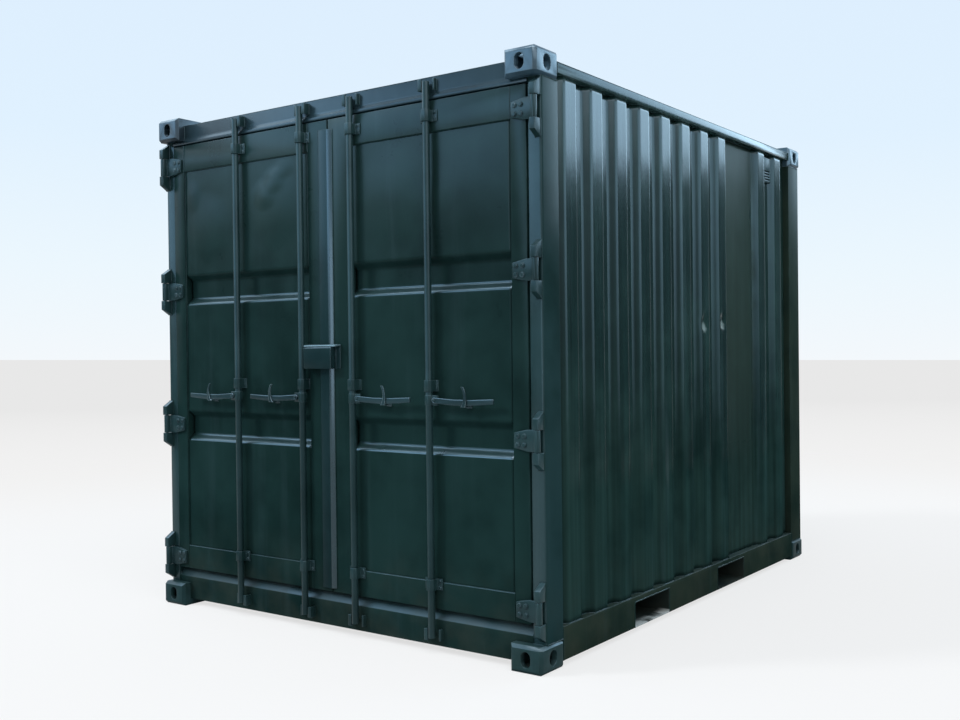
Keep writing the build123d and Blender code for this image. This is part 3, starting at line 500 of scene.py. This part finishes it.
# pieces from meshes
def placed(piece, columns, origin):
    turn = Matrix(columns).transposed().to_4x4()
    piece.data.transform(Matrix.Translation(Vector(origin)) @ turn)
    return piece


def thicken(piece):
    modifier = piece.modifiers.new("wall", "SOLIDIFY")
    modifier.thickness = sheetThickness
    modifier.offset = -1.0
    modifier.use_even_offset = True
    return finished(piece)


def ease(piece, width, steps):
    modifier = piece.modifiers.new("eased", "BEVEL")
    modifier.width = width
    modifier.segments = steps
    return modifier


# a dent is its centre, its reach along each axis, and how far it pushes
def pressDents(piece, dents):
    for vertex in piece.data.vertices:
        for centre, reach, push in dents:
            away = sum(((vertex.co[i] - centre[i]) / reach[i]) ** 2 for i in range(3))
            if away < 1:
                vertex.co += Vector(push) * (1 - away) ** 2
    piece.data.update()


def attach(piece, body, slot, replaces=()):
    piece.data.materials.clear()
    piece.data.materials.append(finishFor(replaces[0]) if replaces else finishes[finishOf[slot]])
    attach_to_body(piece, body)
    if replaces:
        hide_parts(*replaces)
    return piece


easing = {"flat": 0.6, "bevelled": 38, "sharp": 42}       # degrees


# CAD steel with its corners eased, as a copy that stands for the node
def easedSteel(node, width, steps):
    bm = bmesh.new()
    bm.from_mesh(frame["nodes"][node].data)
    bmesh.ops.remove_doubles(bm, verts=bm.verts, dist=1e-6)
    bmesh.ops.dissolve_limit(bm, angle_limit=math.radians(easing["flat"]), verts=bm.verts, edges=bm.edges)
    words = node.split("_")
    piece = newPiece(words[0] + "".join(w.capitalize() for w in words[1:]), [v.co.copy() for v in bm.verts],
                     faces=[[v.index for v in f.verts] for f in bm.faces])
    bm.free()
    modifier = ease(piece, width, steps)
    modifier.limit_method = "ANGLE"
    modifier.angle_limit = math.radians(easing["bevelled"])
    finished(piece)
    piece.data.shade_smooth()
    piece.data.set_sharp_from_angle(angle=math.radians(easing["sharp"]))
    return attach(piece, bodyOf[node], slotOf[node], [node])


# a pressed sheet from its settings and the values that its place gives
def pressSheet(name, sheet, length, height, values):
    return runTree(name, pressedSheet, {
        "Length": length, "Height": height, "Columns": int(length / sheet["columnStep"]),
        "Crest": sheet["crest"], "Slope": sheet["slope"], "Bend": sheet["bend"], "Depth": sheet["depth"],
        "Wave": sheet["wave"], "Material": finishes["wallPaint"], **values})


sideWall = {"pitch": 0.226, "crest": 0.110, "slope": 0.028, "depth": 0.032, "firstRib": 0.057, "ribs": 8,
            "rearInset": 0.484, "rearRibs": 2, "rearPitch": 0.257, "columnStep": 0.0064, "bend": 0.014,
            "wave": 0.004, "rows": {"right": 88, "left": 28}, "seed": {"right": 1.0, "left": 4.0}}
sideWallDents = [((1.207, 0.115, 1.475), (0.2, 0.06, 0.055), (-0.014, 0, 0)),
                 ((1.207, 0.355, 1.485), (0.2, 0.06, 0.06), (-0.014, 0, 0)),
                 ((1.207, -0.55, 1.1), (0.2, 0.1, 0.25), (-0.004, 0, 0)),
                 ((1.19, 0.56, 1.0), (0.2, 0.2, 0.5), (-0.006, 0, 0))]


def buildSideWall(side, sign):
    node = "side_wall_" + side
    low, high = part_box(node)
    length, height = high.y - low.y, high.z - low.z
    # start, count and pitch of both runs of ribs
    runs = [(sideWall["firstRib"], sideWall["ribs"], sideWall["pitch"]),
            (length - sideWall["rearInset"], sideWall["rearRibs"], sideWall["rearPitch"])]
    if side == "left":      # laid out from the blind end
        runs = [(length - (start + (count - 1) * pitch + sideWall["crest"]), count, pitch)
                for start, count, pitch in reversed(runs)]
    piece = pressSheet("sideWall" + side.capitalize(), sideWall, length, height, {
        "Rows": sideWall["rows"][side], "Seed": sideWall["seed"][side],
        "First Rib": runs[0][0], "Rib Count": runs[0][1], "Pitch": runs[0][2],
        "Second Rib": runs[1][0], "Second Count": runs[1][1], "Second Pitch": runs[1][2]})
    outer = max(abs(low.x), abs(high.x))
    placed(piece, ((0, sign, 0), (0, 0, 1), (sign, 0, 0)),
           (sign * (outer - sideWall["depth"]), (low.y + high.y) / 2, (low.z + high.z) / 2))
    if side == "right":
        pressDents(piece, sideWallDents)
    thicken(piece)
    return attach(piece, "frame", "wall_paint", [node])


for side, sign in sideSigns.items():
    buildSideWall(side, sign)

endWall = {"pitch": 0.25, "crest": 0.104, "slope": 0.03, "depth": 0.04, "columnStep": 0.0065, "rows": 30,
           "bend": 0.006, "wave": 0.004, "seed": 7.0}


def buildEndWall():
    low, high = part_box("end_wall")
    length = high.x - low.x
    count = int((length - 2 * endWall["slope"]) / endWall["pitch"])
    span = (count - 1) * endWall["pitch"] + endWall["crest"]
    piece = pressSheet("endWallSheet", endWall, length, high.z - low.z, {
        "Rows": endWall["rows"], "Pitch": endWall["pitch"], "First Rib": (length - span) / 2,
        "Rib Count": count, "Seed": endWall["seed"]})
    placed(piece, ((-1, 0, 0), (0, 0, 1), (0, 1, 0)), (0, high.y - endWall["depth"], (low.z + high.z) / 2))
    thicken(piece)
    return attach(piece, "frame", "wall_paint", ["end_wall"])


buildEndWall()

doorSheet = {"grooves": (0.3225, 0.6836), "crest": 0.098, "slope": 0.026, "depth": -0.034, "columnStep": 0.0065,
             "rows": 48, "bend": 0.006, "wave": 0.008, "waveScale": 2.2, "seed": {"right": 12.0, "left": 15.0}}
doorDents = {
    "right": [((0.40, -1.47, 2.04), (0.26, 0.2, 0.26), (0, -0.009, 0)),
              ((0.82, -1.47, 1.99), (0.28, 0.2, 0.32), (0, -0.010, 0)),
              ((0.55, -1.47, 0.62), (0.3, 0.2, 0.2), (0, 0.004, 0))],
    "left": [((-0.36, -1.47, 2.05), (0.22, 0.2, 0.22), (0, -0.010, 0)),
             ((-0.88, -1.47, 2.0), (0.22, 0.2, 0.2), (0, -0.008, 0)),
             ((-0.31, -1.47, 2.25), (0.08, 0.2, 0.06), (0, -0.004, 0)),
             ((-0.37, -1.47, 2.2), (0.09, 0.2, 0.08), (0, -0.007, 0)),
             ((-0.44, -1.47, 2.13), (0.1, 0.2, 0.09), (0, -0.007, 0)),
             ((-1.0, -1.47, 2.17), (0.07, 0.2, 0.1), (0, -0.005, 0)),
             ((-0.5, -1.47, 0.7), (0.3, 0.2, 0.25), (0, 0.004, 0))],
}


def buildDoorSheet(side):
    node = "door_panel_" + side
    low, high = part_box(node)
    tall, wide = high.z - low.z, high.x - low.x
    centres = [share * tall for share in doorSheet["grooves"]]
    piece = pressSheet("doorSheet" + side.capitalize(), doorSheet, tall, wide, {
        "Rows": doorSheet["rows"], "Pitch": centres[1] - centres[0],
        "First Rib": centres[0] - doorSheet["crest"] / 2, "Rib Count": len(centres),
        "Wave Scale": doorSheet["waveScale"], "Seed": doorSheet["seed"][side]})
    placed(piece, ((0, 0, 1), (-1, 0, 0), (0, -1, 0)),
           ((low.x + high.x) / 2, low.y, (low.z + high.z) / 2))
    pressDents(piece, doorDents[side])
    thicken(piece)
    return attach(piece, side + "_door", "wall_paint", [node])


for side in sideSigns:
    buildDoorSheet(side)

roofSheet = {"pitch": 0.209, "crest": 0.084, "slope": 0.018, "depth": 0.018, "margin": 0.105, "endSlope": 0.03,
             "columnStep": 0.009, "rows": 90, "bend": 0.006, "wave": 0.004, "seed": 21.0, "plainEnds": 0.18}


def buildRoof():
    low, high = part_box("roof_panel")
    length = 2 * wallEnd
    count = int((length - roofSheet["plainEnds"]) / roofSheet["pitch"]) + 1
    span = (count - 1) * roofSheet["pitch"] + roofSheet["crest"]
    piece = pressSheet("roofSheet", roofSheet, length, high.x - low.x, {
        "Rows": roofSheet["rows"], "Pitch": roofSheet["pitch"], "First Rib": (length - span) / 2,
        "Rib Count": count, "End Margin": roofSheet["margin"], "End Slope": roofSheet["endSlope"],
        "Seed": roofSheet["seed"]})
    top = low.z + sheetThickness
    placed(piece, ((0, 1, 0), (-1, 0, 0), (0, 0, 1)), (0, 0, top))
    # flat ends between the castings
    bm = bmesh.new()
    bm.from_mesh(piece.data)
    for y0, y1 in ((low.y, -wallEnd), (wallEnd, high.y)):
        bm.faces.new([bm.verts.new((x, y, top)) for x, y in (
            (-castingEnd, y0), (castingEnd, y0), (castingEnd, y1), (-castingEnd, y1))])
    bm.to_mesh(piece.data)
    bm.free()
    thicken(piece)
    return attach(piece, "frame", "wall_paint", ["roof_panel"])


buildRoof()
print("sheets pressed")

# steel sections, castings and door gear, with the width of their eased corners
easedNodes = {
    "top_corner_castings": 0.009, "bottom_corner_castings": 0.007,
    "door_header": 0.003, "door_sill": 0.003, "rear_top_rail": 0.003, "rear_sill": 0.003,
    "cam_keepers": 0.0016, "hinge_lugs": 0.002, "overlap_plate": 0.0012, "lock_box": 0.0012,
    "fork_pockets": 0.0015, "cross_members": 0.001, "side_vent": 0.0007,
}
easedPairs = {
    "corner_post_door_": 0.003, "corner_post_rear_": 0.003, "top_side_rail_": 0.003, "bottom_side_rail_": 0.003,
    "door_frame_": 0.0026, "hinge_blades_": 0.002, "rod_guides_": 0.0014, "handle_holders_": 0.0012,
    "inner_lock_rod_": 0.0012, "outer_lock_rod_": 0.0012, "inner_handle_": 0.0042, "outer_handle_": 0.0042,
}
for side in ("left", "right"):
    easedNodes.update({start + side: width for start, width in easedPairs.items()})
for node, width in easedNodes.items():
    easedSteel(node, width, 3 if "castings" in node or "handle_" in node else 2)
print("corners eased on", len(easedNodes), "nodes")

# a lipped rubber strip round each leaf: how far the section stands out, and how far back
seal = {"wall": 0.002, "section": [(0.0, 0.0), (0.0, 0.034), (0.0015, 0.034), (0.002, 0.026), (0.0012, 0.022),
                                   (0.002, 0.017), (0.0012, 0.012), (0.0018, 0.006), (0.0012, 0.0)]}


def buildSeal(side):
    node = "door_gasket_" + side
    low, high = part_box(node)
    points, faces = [], []
    for out, back in seal["section"]:
        for x, z in ((low.x, low.z), (high.x, low.z), (high.x, high.z), (low.x, high.z)):
            inX = x + (seal["wall"] - out) * (1 if x == low.x else -1)
            inZ = z + (seal["wall"] - out) * (1 if z == low.z else -1)
            points.append((inX, low.y + back, inZ))
    count = len(seal["section"])
    for i in range(count):
        after = (i + 1) % count
        for j in range(4):
            beside = (j + 1) % 4
            faces.append((i * 4 + j, i * 4 + beside, after * 4 + beside, after * 4 + j))
    piece = newPiece("doorSeal" + side.capitalize(), points, faces=faces)
    bm = bmesh.new()
    bm.from_mesh(piece.data)
    bmesh.ops.recalc_face_normals(bm, faces=bm.faces)
    bm.to_mesh(piece.data)
    bm.free()
    return attach(piece, side + "_door", "gasket_rubber", [node])


for side in sideSigns:
    buildSeal(side)

# plywood sheets with a thin gap between them
floorSheets = {"count": 3, "gap": 0.003, "endGap": 0.001, "bevel": 0.0015}


def addBlock(bm, low, high):
    made = bmesh.ops.create_cube(bm, size=1.0)["verts"]
    bmesh.ops.scale(bm, vec=Vector(high) - Vector(low), verts=made)
    bmesh.ops.translate(bm, vec=(Vector(low) + Vector(high)) / 2, verts=made)


def pieceFrom(bm, name):
    mesh = bpy.data.meshes.new(name)
    bm.to_mesh(mesh)
    bm.free()
    piece = bpy.data.objects.new(name, mesh)
    scene.collection.objects.link(piece)
    return piece


def buildFloor():
    low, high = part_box("floor_boards")
    width = (high.x - low.x) / floorSheets["count"]
    bm = bmesh.new()
    for i in range(floorSheets["count"]):
        x0, x1 = low.x + i * width, low.x + (i + 1) * width - floorSheets["gap"]
        addBlock(bm, (x0, low.y, low.z), (x1, wallEnd, high.z))
        # between the rear posts
        addBlock(bm, (max(x0, -castingEnd), wallEnd + floorSheets["endGap"], low.z),
                 (min(x1, castingEnd), high.y, high.z))
    piece = pieceFrom(bm, "floorSheets")
    ease(piece, floorSheets["bevel"], 1)
    return attach(finished(piece), "frame", "floor_plywood", ["floor_boards"])


buildFloor()
print("seals and floor made")


# height of a side wall's sheet over its troughs
def ribOffset(y):
    halfCrest = sideWall["crest"] / 2
    foot = halfCrest + sideWall["slope"]
    for start, count, pitch in ((sideWall["firstRib"] - wallEnd, sideWall["ribs"], sideWall["pitch"]),
                                (wallEnd - sideWall["rearInset"], sideWall["rearRibs"], sideWall["rearPitch"])):
        fromCentre = y - start - halfCrest
        index = min(max(round(fromCentre / pitch), 0), count - 1)
        off = abs(fromCentre - index * pitch)
        if off < foot:
            return sideWall["depth"] * min(1.0, (foot - off) / sideWall["slope"])
    return 0.0


# Welds are runs of points, listed for the right side and repeated on the left
welds = {"radius": 0.0028, "step": 0.011, "trough": 1.175, "walk": 0.01, "outer": railFace}
wallLow, wallHigh = (edge.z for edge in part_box("side_wall_right"))


def bothSides(runs):
    return [[(sign * x, y, z) for x, y, z in run] for sign in sideSigns.values() for run in runs]


def upright(x, y, z0, z1):
    return [(x, y, z0), (x, y, z1)]


outer, trough = welds["outer"], welds["trough"]
frameRuns = []
walk = [-wallEnd + 0.001 + i * welds["walk"] for i in range(270)]
for z in (wallLow + 0.0005, wallHigh - 0.0005):     # along the wall's feet and top
    frameRuns.append([(trough + ribOffset(y), y, z) for y in walk])
frameRuns.append(upright(trough, -wallEnd + 0.0005, wallLow, wallHigh))
for z in (0.118, 2.473):        # round the posts, at the castings
    frameRuns.append([(1.148, postFace, z), (1.2, postFace, z), (outer, postFace + 0.013, z),
                      (outer, -wallEnd - 0.001, z)])
    frameRuns.append([(1.06, 1.518, z), (1.2, 1.518, z), (outer, 1.505, z), (outer, wallEnd + 0.001, z)])
for y in (-wallEnd, wallEnd):       # the rails' ends on the posts
    frameRuns.append(upright(outer, y, wallHigh, 2.5515))
    frameRuns.append(upright(outer, y, 0.026, 0.169))
frameRuns.append([(1.146, postFace, 0.12), (1.146, postFace, 0.15), (1.146, postFace + 0.034, 0.19)])
frameRuns.append([(1.147, postFace - 0.004, 2.456), (1.147, postFace, 2.472)])
for z0, z1 in ((2.475, 2.551), (0.033, 0.117)):     # header and sill on the castings
    frameRuns.append(upright(castingEnd, postFace, z0, z1))
for y in pocketPlaces:      # round the fork pockets' mouths
    frameRuns.append([(outer, y - 0.181, 0.026), (outer, y - 0.181, 0.147), (outer, y + 0.181, 0.147),
                      (outer, y + 0.181, 0.026)])
for z in hingeHeights:      # hinge lugs
    for up in (-1, 1):
        for x in (1.183, 1.211):
            frameRuns.append(upright(x, postFace - 0.0005, z + up * 0.048, z + up * 0.124))
for x in rodPlaces:     # cam keepers
    for z in (0.085, 2.515):
        for edge in (-0.041, -0.031, 0.031, 0.041):
            frameRuns.append(upright(x + edge, postFace - 0.0005, z - 0.026, z + 0.026))

doorLow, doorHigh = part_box("door_panel_right")
left, right, bottom, top = doorLow.x, doorHigh.x - 0.001, doorLow.z, doorHigh.z
sheetFace = leafFace + 0.008
doorRuns = [[(x, sheetFace, z) for x, z in ((left, bottom), (right, bottom), (right, top), (left, top),
                                            (left, bottom))]]
for x in (left, right):
    doorRuns.append(upright(x, leafFace, 0.2, bottom))
    doorRuns.append(upright(x, leafFace, top, 2.446))
for z in hingeHeights:      # hinge blades
    doorRuns.append([(1.138, leafFace, z - 0.044), (1.074, leafFace, z - 0.032), (1.074, leafFace, z + 0.032),
                     (1.138, leafFace, z + 0.044)])
for rod in rodPlaces:       # middle guides and handle holders
    for x, z0, z1 in ((rod - 0.03, 1.163, 1.213), (rod + 0.03, 1.163, 1.213), (rod + 0.189, 1.093, 1.113),
                      (rod + 0.215, 1.093, 1.113)):
        doorRuns.append(upright(x, sheetFace, z0, z1))
plateRuns = [upright(0.0302, leafFace - 0.0005, 0.217, 1.262), upright(0.0302, leafFace - 0.0005, 1.376, 2.398),
             upright(0.0705, leafFace - 0.0005, 1.265, 1.373)]


def buildWelds(name, body, runs):
    points, edges = [], []
    for run in runs:
        for i, point in enumerate(run):
            points.append(point)
            if i:
                edges.append((len(points) - 2, len(points) - 1))
    piece = runTree(name, weldBead, {"Radius": welds["radius"], "Step": welds["step"],
                                     "Material": finishes["fittingsPaint"]}, points, edges)
    return attach(piece, body, "wall_paint")


half = len(doorRuns)
buildWelds("frameWelds", "frame", bothSides(frameRuns))
buildWelds("rightDoorWelds", "right_door", bothSides(doorRuns)[:half] + plateRuns)
buildWelds("leftDoorWelds", "left_door", bothSides(doorRuns)[half:])

# bolts on the hinge blades and the rod guides
bolts = {"blade": {"radius": 0.009, "height": 0.006, "front": frontY + 0.0322, "x": (1.089, 1.122),
                   "up": 0.019},
         "guide": {"radius": 0.0065, "height": 0.004, "front": frontY + 0.0392, "heights": (0.309, 2.378),
                   "apart": 0.035, "up": 0.014}}


def buildBolts(side, sign):
    blade, guide = bolts["blade"], bolts["guide"]
    points = {
        "blade": [(sign * x, blade["front"], z + up) for z in hingeHeights for x in blade["x"]
                  for up in (-blade["up"], blade["up"])],
        "guide": [(sign * (x + apart), guide["front"], z + up) for x in rodPlaces for z in guide["heights"]
                  for apart in (-guide["apart"], guide["apart"]) for up in (-guide["up"], guide["up"])]}
    for kind, places in points.items():
        piece = runTree(side + kind.capitalize() + "Bolts", boltHead, {
            "Radius": bolts[kind]["radius"], "Height": bolts[kind]["height"],
            "Material": finishes["fittingsPaint"]}, places)
        attach(piece, side + "_door", "fittings_paint")


for side, sign in sideSigns.items():
    buildBolts(side, sign)
print("welds and bolts made")

# a small ledge over the lock box, wider than the box
ledge = {"low": (-0.142, frontY + 0.004, 1.371), "high": (0.074, frontY + 0.043, 1.379), "bevel": 0.0025,
         "drop": 0.004, "cutBack": 0.96}


def buildLedge():
    bm = bmesh.new()
    addBlock(bm, ledge["low"], ledge["high"])
    for vertex in bm.verts:         # rain runs off to the front, and the ends are cut back
        if vertex.co.y < (ledge["low"][1] + ledge["high"][1]) / 2:
            vertex.co.z -= ledge["drop"]
            vertex.co.x *= ledge["cutBack"]
    piece = pieceFrom(bm, "lockBoxLedge")
    ease(piece, ledge["bevel"], 2)
    finished(piece)
    piece.data.shade_smooth()
    attach(piece, "right_door", "wall_paint")
    # the ledge gets the pale paint, a painted highlight
    piece.data.materials[0] = finishes["ledgePaint"]


buildLedge()

# the photograph's viewpoint, with the lens and shift for an image of 960 x 720
eye = {"place": (3.62538, -5.16565, 1.34594), "azimuth": 35.13, "elevation": 0.58, "roll": -0.65,
       "lens": 1069.93 * 36 / 960, "shift": -(507.12 - 480) / 960, "sensor": 36, "far": 500}
azimuth, elevation, roll = (math.radians(eye[k]) for k in ("azimuth", "elevation", "roll"))
back = Vector((math.sin(azimuth) * math.cos(elevation), -math.cos(azimuth) * math.cos(elevation),
               math.sin(elevation)))
across = Vector((0, 0, 1)).cross(back).normalized()
above = back.cross(across)
cameraRight = math.cos(roll) * across + math.sin(roll) * above
cameraUp = -math.sin(roll) * across + math.cos(roll) * above
camera = bpy.data.objects.new("camera", bpy.data.cameras.new("camera"))
camera.data.sensor_width = eye["sensor"]
camera.data.lens = eye["lens"]
camera.data.shift_x = eye["shift"]
camera.data.clip_end = eye["far"]
camera.matrix_world = (Matrix.Translation(eye["place"])
                       @ Matrix((cameraRight, cameraUp, back)).transposed().to_4x4())
scene.collection.objects.link(camera)
scene.camera = camera

skyLooks = {"bands": ((0.0, srgb(243, 248, 252)), (0.08, srgb(236, 247, 254)), (0.2, srgb(224, 241, 255)),
                      (0.34, srgb(221, 238, 254)), (1.0, srgb(205, 226, 250))),
            "ground": srgb(232, 232, 232), "glow": (0.96, 0.985, 1.0, 1.0), "strength": 0.42}


def buildWorld():
    world = bpy.data.worlds.new("studio")
    world.use_nodes = True
    tree = world.node_tree
    tree.nodes.clear()
    look = add(tree, "ShaderNodeTexCoord").outputs["Generated"]
    height = add(tree, "ShaderNodeVectorMath", {0: look, 1: tuple(cameraUp)},
                 operation="DOT_PRODUCT").outputs["Value"]
    ramp = add(tree, "ShaderNodeValToRGB", {0: height})
    bands = ramp.color_ramp.elements
    while len(bands) < len(skyLooks["bands"]):
        bands.new(0.5)
    for band, (position, colour) in zip(bands, skyLooks["bands"]):
        band.position = position
        band.color = colour
    isSky = calc(tree, "GREATER_THAN", height, 0.0)
    shown = mixColour(tree, isSky, skyLooks["ground"], ramp.outputs[0])
    rays = add(tree, "ShaderNodeLightPath").outputs
    mirrored = calc(tree, "MAXIMUM", rays["Is Glossy Ray"], rays["Is Transmission Ray"])
    seen = calc(tree, "MAXIMUM", rays["Is Camera Ray"], mirrored)
    backdrop = add(tree, "ShaderNodeBackground", {"Color": shown, "Strength": 1.0}).outputs[0]
    glow = add(tree, "ShaderNodeBackground", {"Color": skyLooks["glow"], "Strength": skyLooks["strength"]})
    both = add(tree, "ShaderNodeMixShader", {0: seen, 1: glow.outputs[0], 2: backdrop}).outputs[0]
    tree.links.new(both, add(tree, "ShaderNodeOutputWorld").inputs[0])
    scene.world = world


buildWorld()

# "mirrored" panels light nothing and show only in reflections, an "unmirrored" sun doesn't show in them
lamps = {
    "keySun": {"kind": "SUN", "aim": (0.62, 0.55, -0.56), "power": 2.0, "spread": 10.0,
               "colour": (1.0, 1.0, 1.0), "unmirrored": True},
    "topSun": {"kind": "SUN", "aim": (-0.15, 0.3, -0.94), "power": 1.3, "spread": 35.0,
               "colour": (0.97, 0.99, 1.0)},
    "sideSun": {"kind": "SUN", "aim": (-0.75, 0.3, -0.59), "power": 1.25, "spread": 50.0,
                "colour": (1.0, 1.0, 1.0)},
    "rightPanel": {"kind": "AREA", "place": (5.4, 7.6, 5.5), "look": (1.2, -0.5, 2.2), "size": (9.0, 4.0),
                   "radiance": 4.3, "colour": (0.53, 0.79, 1.0)},
    "sidePanel": {"kind": "AREA", "place": (9.5, 1.6, 2.6), "look": (1.2, -0.3, 1.8), "size": (7.0, 4.4),
                  "radiance": 3.8, "colour": (0.62, 0.85, 1.0), "mirrored": True},
    "frontPanel": {"kind": "AREA", "place": (0.3, -10.0, 2.3), "look": (0.0, -1.5, 1.6), "size": (3.0, 4.6),
                   "radiance": 4.0, "colour": (0.72, 0.86, 1.0), "mirrored": True},
    "leftPanel": {"kind": "AREA", "place": (-5.5, -8.5, 5.7), "look": (0.0, -1.5, 2.2), "size": (9.0, 4.2),
                  "radiance": 2.6, "colour": (0.4, 0.7, 1.0)},
    "highPanel": {"kind": "AREA", "place": (-5.2, -1.5, 7.6), "look": (0.0, -1.5, 1.0), "size": (6.0, 6.0),
                  "radiance": 1.9, "colour": (0.7, 0.88, 1.0)},
}
for name, lamp in lamps.items():
    data = bpy.data.lights.new(name, lamp["kind"])
    data.color = lamp["colour"]
    thing = bpy.data.objects.new(name, data)
    if lamp["kind"] == "SUN":
        data.energy = lamp["power"]
        data.angle = math.radians(lamp["spread"])
        aim = Vector(lamp["aim"])
        thing.visible_glossy = not lamp.get("unmirrored", False)
    else:
        data.shape = "RECTANGLE"
        data.size, data.size_y = lamp["size"]
        data.energy = lamp["radiance"] * math.pi * data.size * data.size_y
        aim = Vector(lamp["look"]) - Vector(lamp["place"])
        thing.location = lamp["place"]
        thing.visible_camera = False
        thing.visible_diffuse = not lamp.get("mirrored", False)
    thing.rotation_mode = "QUATERNION"
    thing.rotation_quaternion = aim.to_track_quat("-Z", "Y")
    scene.collection.objects.link(thing)

# dark cards, seen only as reflections in the paint
cards = {"rightCard": {"place": (5.3, 6.0, 1.5), "look": (1.2, -0.5, 1.5), "size": (7.0, 4.1)},
         "leftCard": {"place": (-5.4, -7.6, 0.9), "look": (0.0, -1.5, 0.9), "size": (9.0, 2.6)}}
cardFinish, cardTree = newMaterial("darkCard")
closeMaterial(cardTree, add(cardTree, "ShaderNodeEmission", {"Color": srgb(82, 102, 112), "Strength": 1.0}))


def buildCard(name, card):
    wide, tall = card["size"][0] / 2, card["size"][1] / 2
    thing = newPiece(name, [(-wide, -tall, 0), (wide, -tall, 0), (wide, tall, 0), (-wide, tall, 0)],
                     faces=[(0, 1, 2, 3)])
    aim = (Vector(card["look"]) - Vector(card["place"])).to_track_quat("Z", "Y").to_matrix().to_4x4()
    thing.data.transform(Matrix.Translation(card["place"]) @ aim)
    thing.data.materials.append(cardFinish)
    thing.visible_camera = thing.visible_diffuse = thing.visible_shadow = thing.visible_transmission = False


for name, card in cards.items():
    buildCard(name, card)

studioFloor = {"radius": 60.0, "lift": 0.76, "lit": srgb(205, 206, 207), "near": srgb(247, 247, 247),
               "far": srgb(232, 232, 232), "depths": (4.0, 26.0), "shadowReach": (2.2, 8.0)}


# near the part the floor keeps a soft shadow, further off it is plain
def buildFloorDisc():
    bm = bmesh.new()
    bmesh.ops.create_circle(bm, cap_ends=True, segments=96, radius=studioFloor["radius"])
    disc = pieceFrom(bm, "studioFloor")
    material, tree = newMaterial("studioFloor")
    place = add(tree, "ShaderNodeTexCoord").outputs["Object"]
    ahead = Vector((-back.x, -back.y, 0)).normalized()
    depth = add(tree, "ShaderNodeVectorMath", {0: place, 1: tuple(ahead)},
                operation="DOT_PRODUCT").outputs["Value"]
    depth = minus(tree, depth, Vector(eye["place"]).dot(ahead))
    colour = mixColour(tree, slide(tree, depth, *studioFloor["depths"]), studioFloor["near"],
                       studioFloor["far"])
    plain = add(tree, "ShaderNodeBsdfDiffuse", {"Color": studioFloor["lit"]}).outputs[0]
    glow = add(tree, "ShaderNodeEmission", {"Color": colour, "Strength": 1.0}).outputs[0]
    away = add(tree, "ShaderNodeVectorMath", {0: place}, operation="LENGTH").outputs["Value"]
    rays = add(tree, "ShaderNodeLightPath").outputs
    fade = times(tree, spread(tree, away, *studioFloor["shadowReach"], studioFloor["lift"], 1.0),
                 calc(tree, "MAXIMUM", rays["Is Camera Ray"], rays["Is Glossy Ray"]))
    closeMaterial(tree, add(tree, "ShaderNodeMixShader", {0: fade, 1: plain, 2: glow}))
    disc.data.materials.append(material)


buildFloorDisc()
scene.view_settings.view_transform = "Standard"
print("studio made")
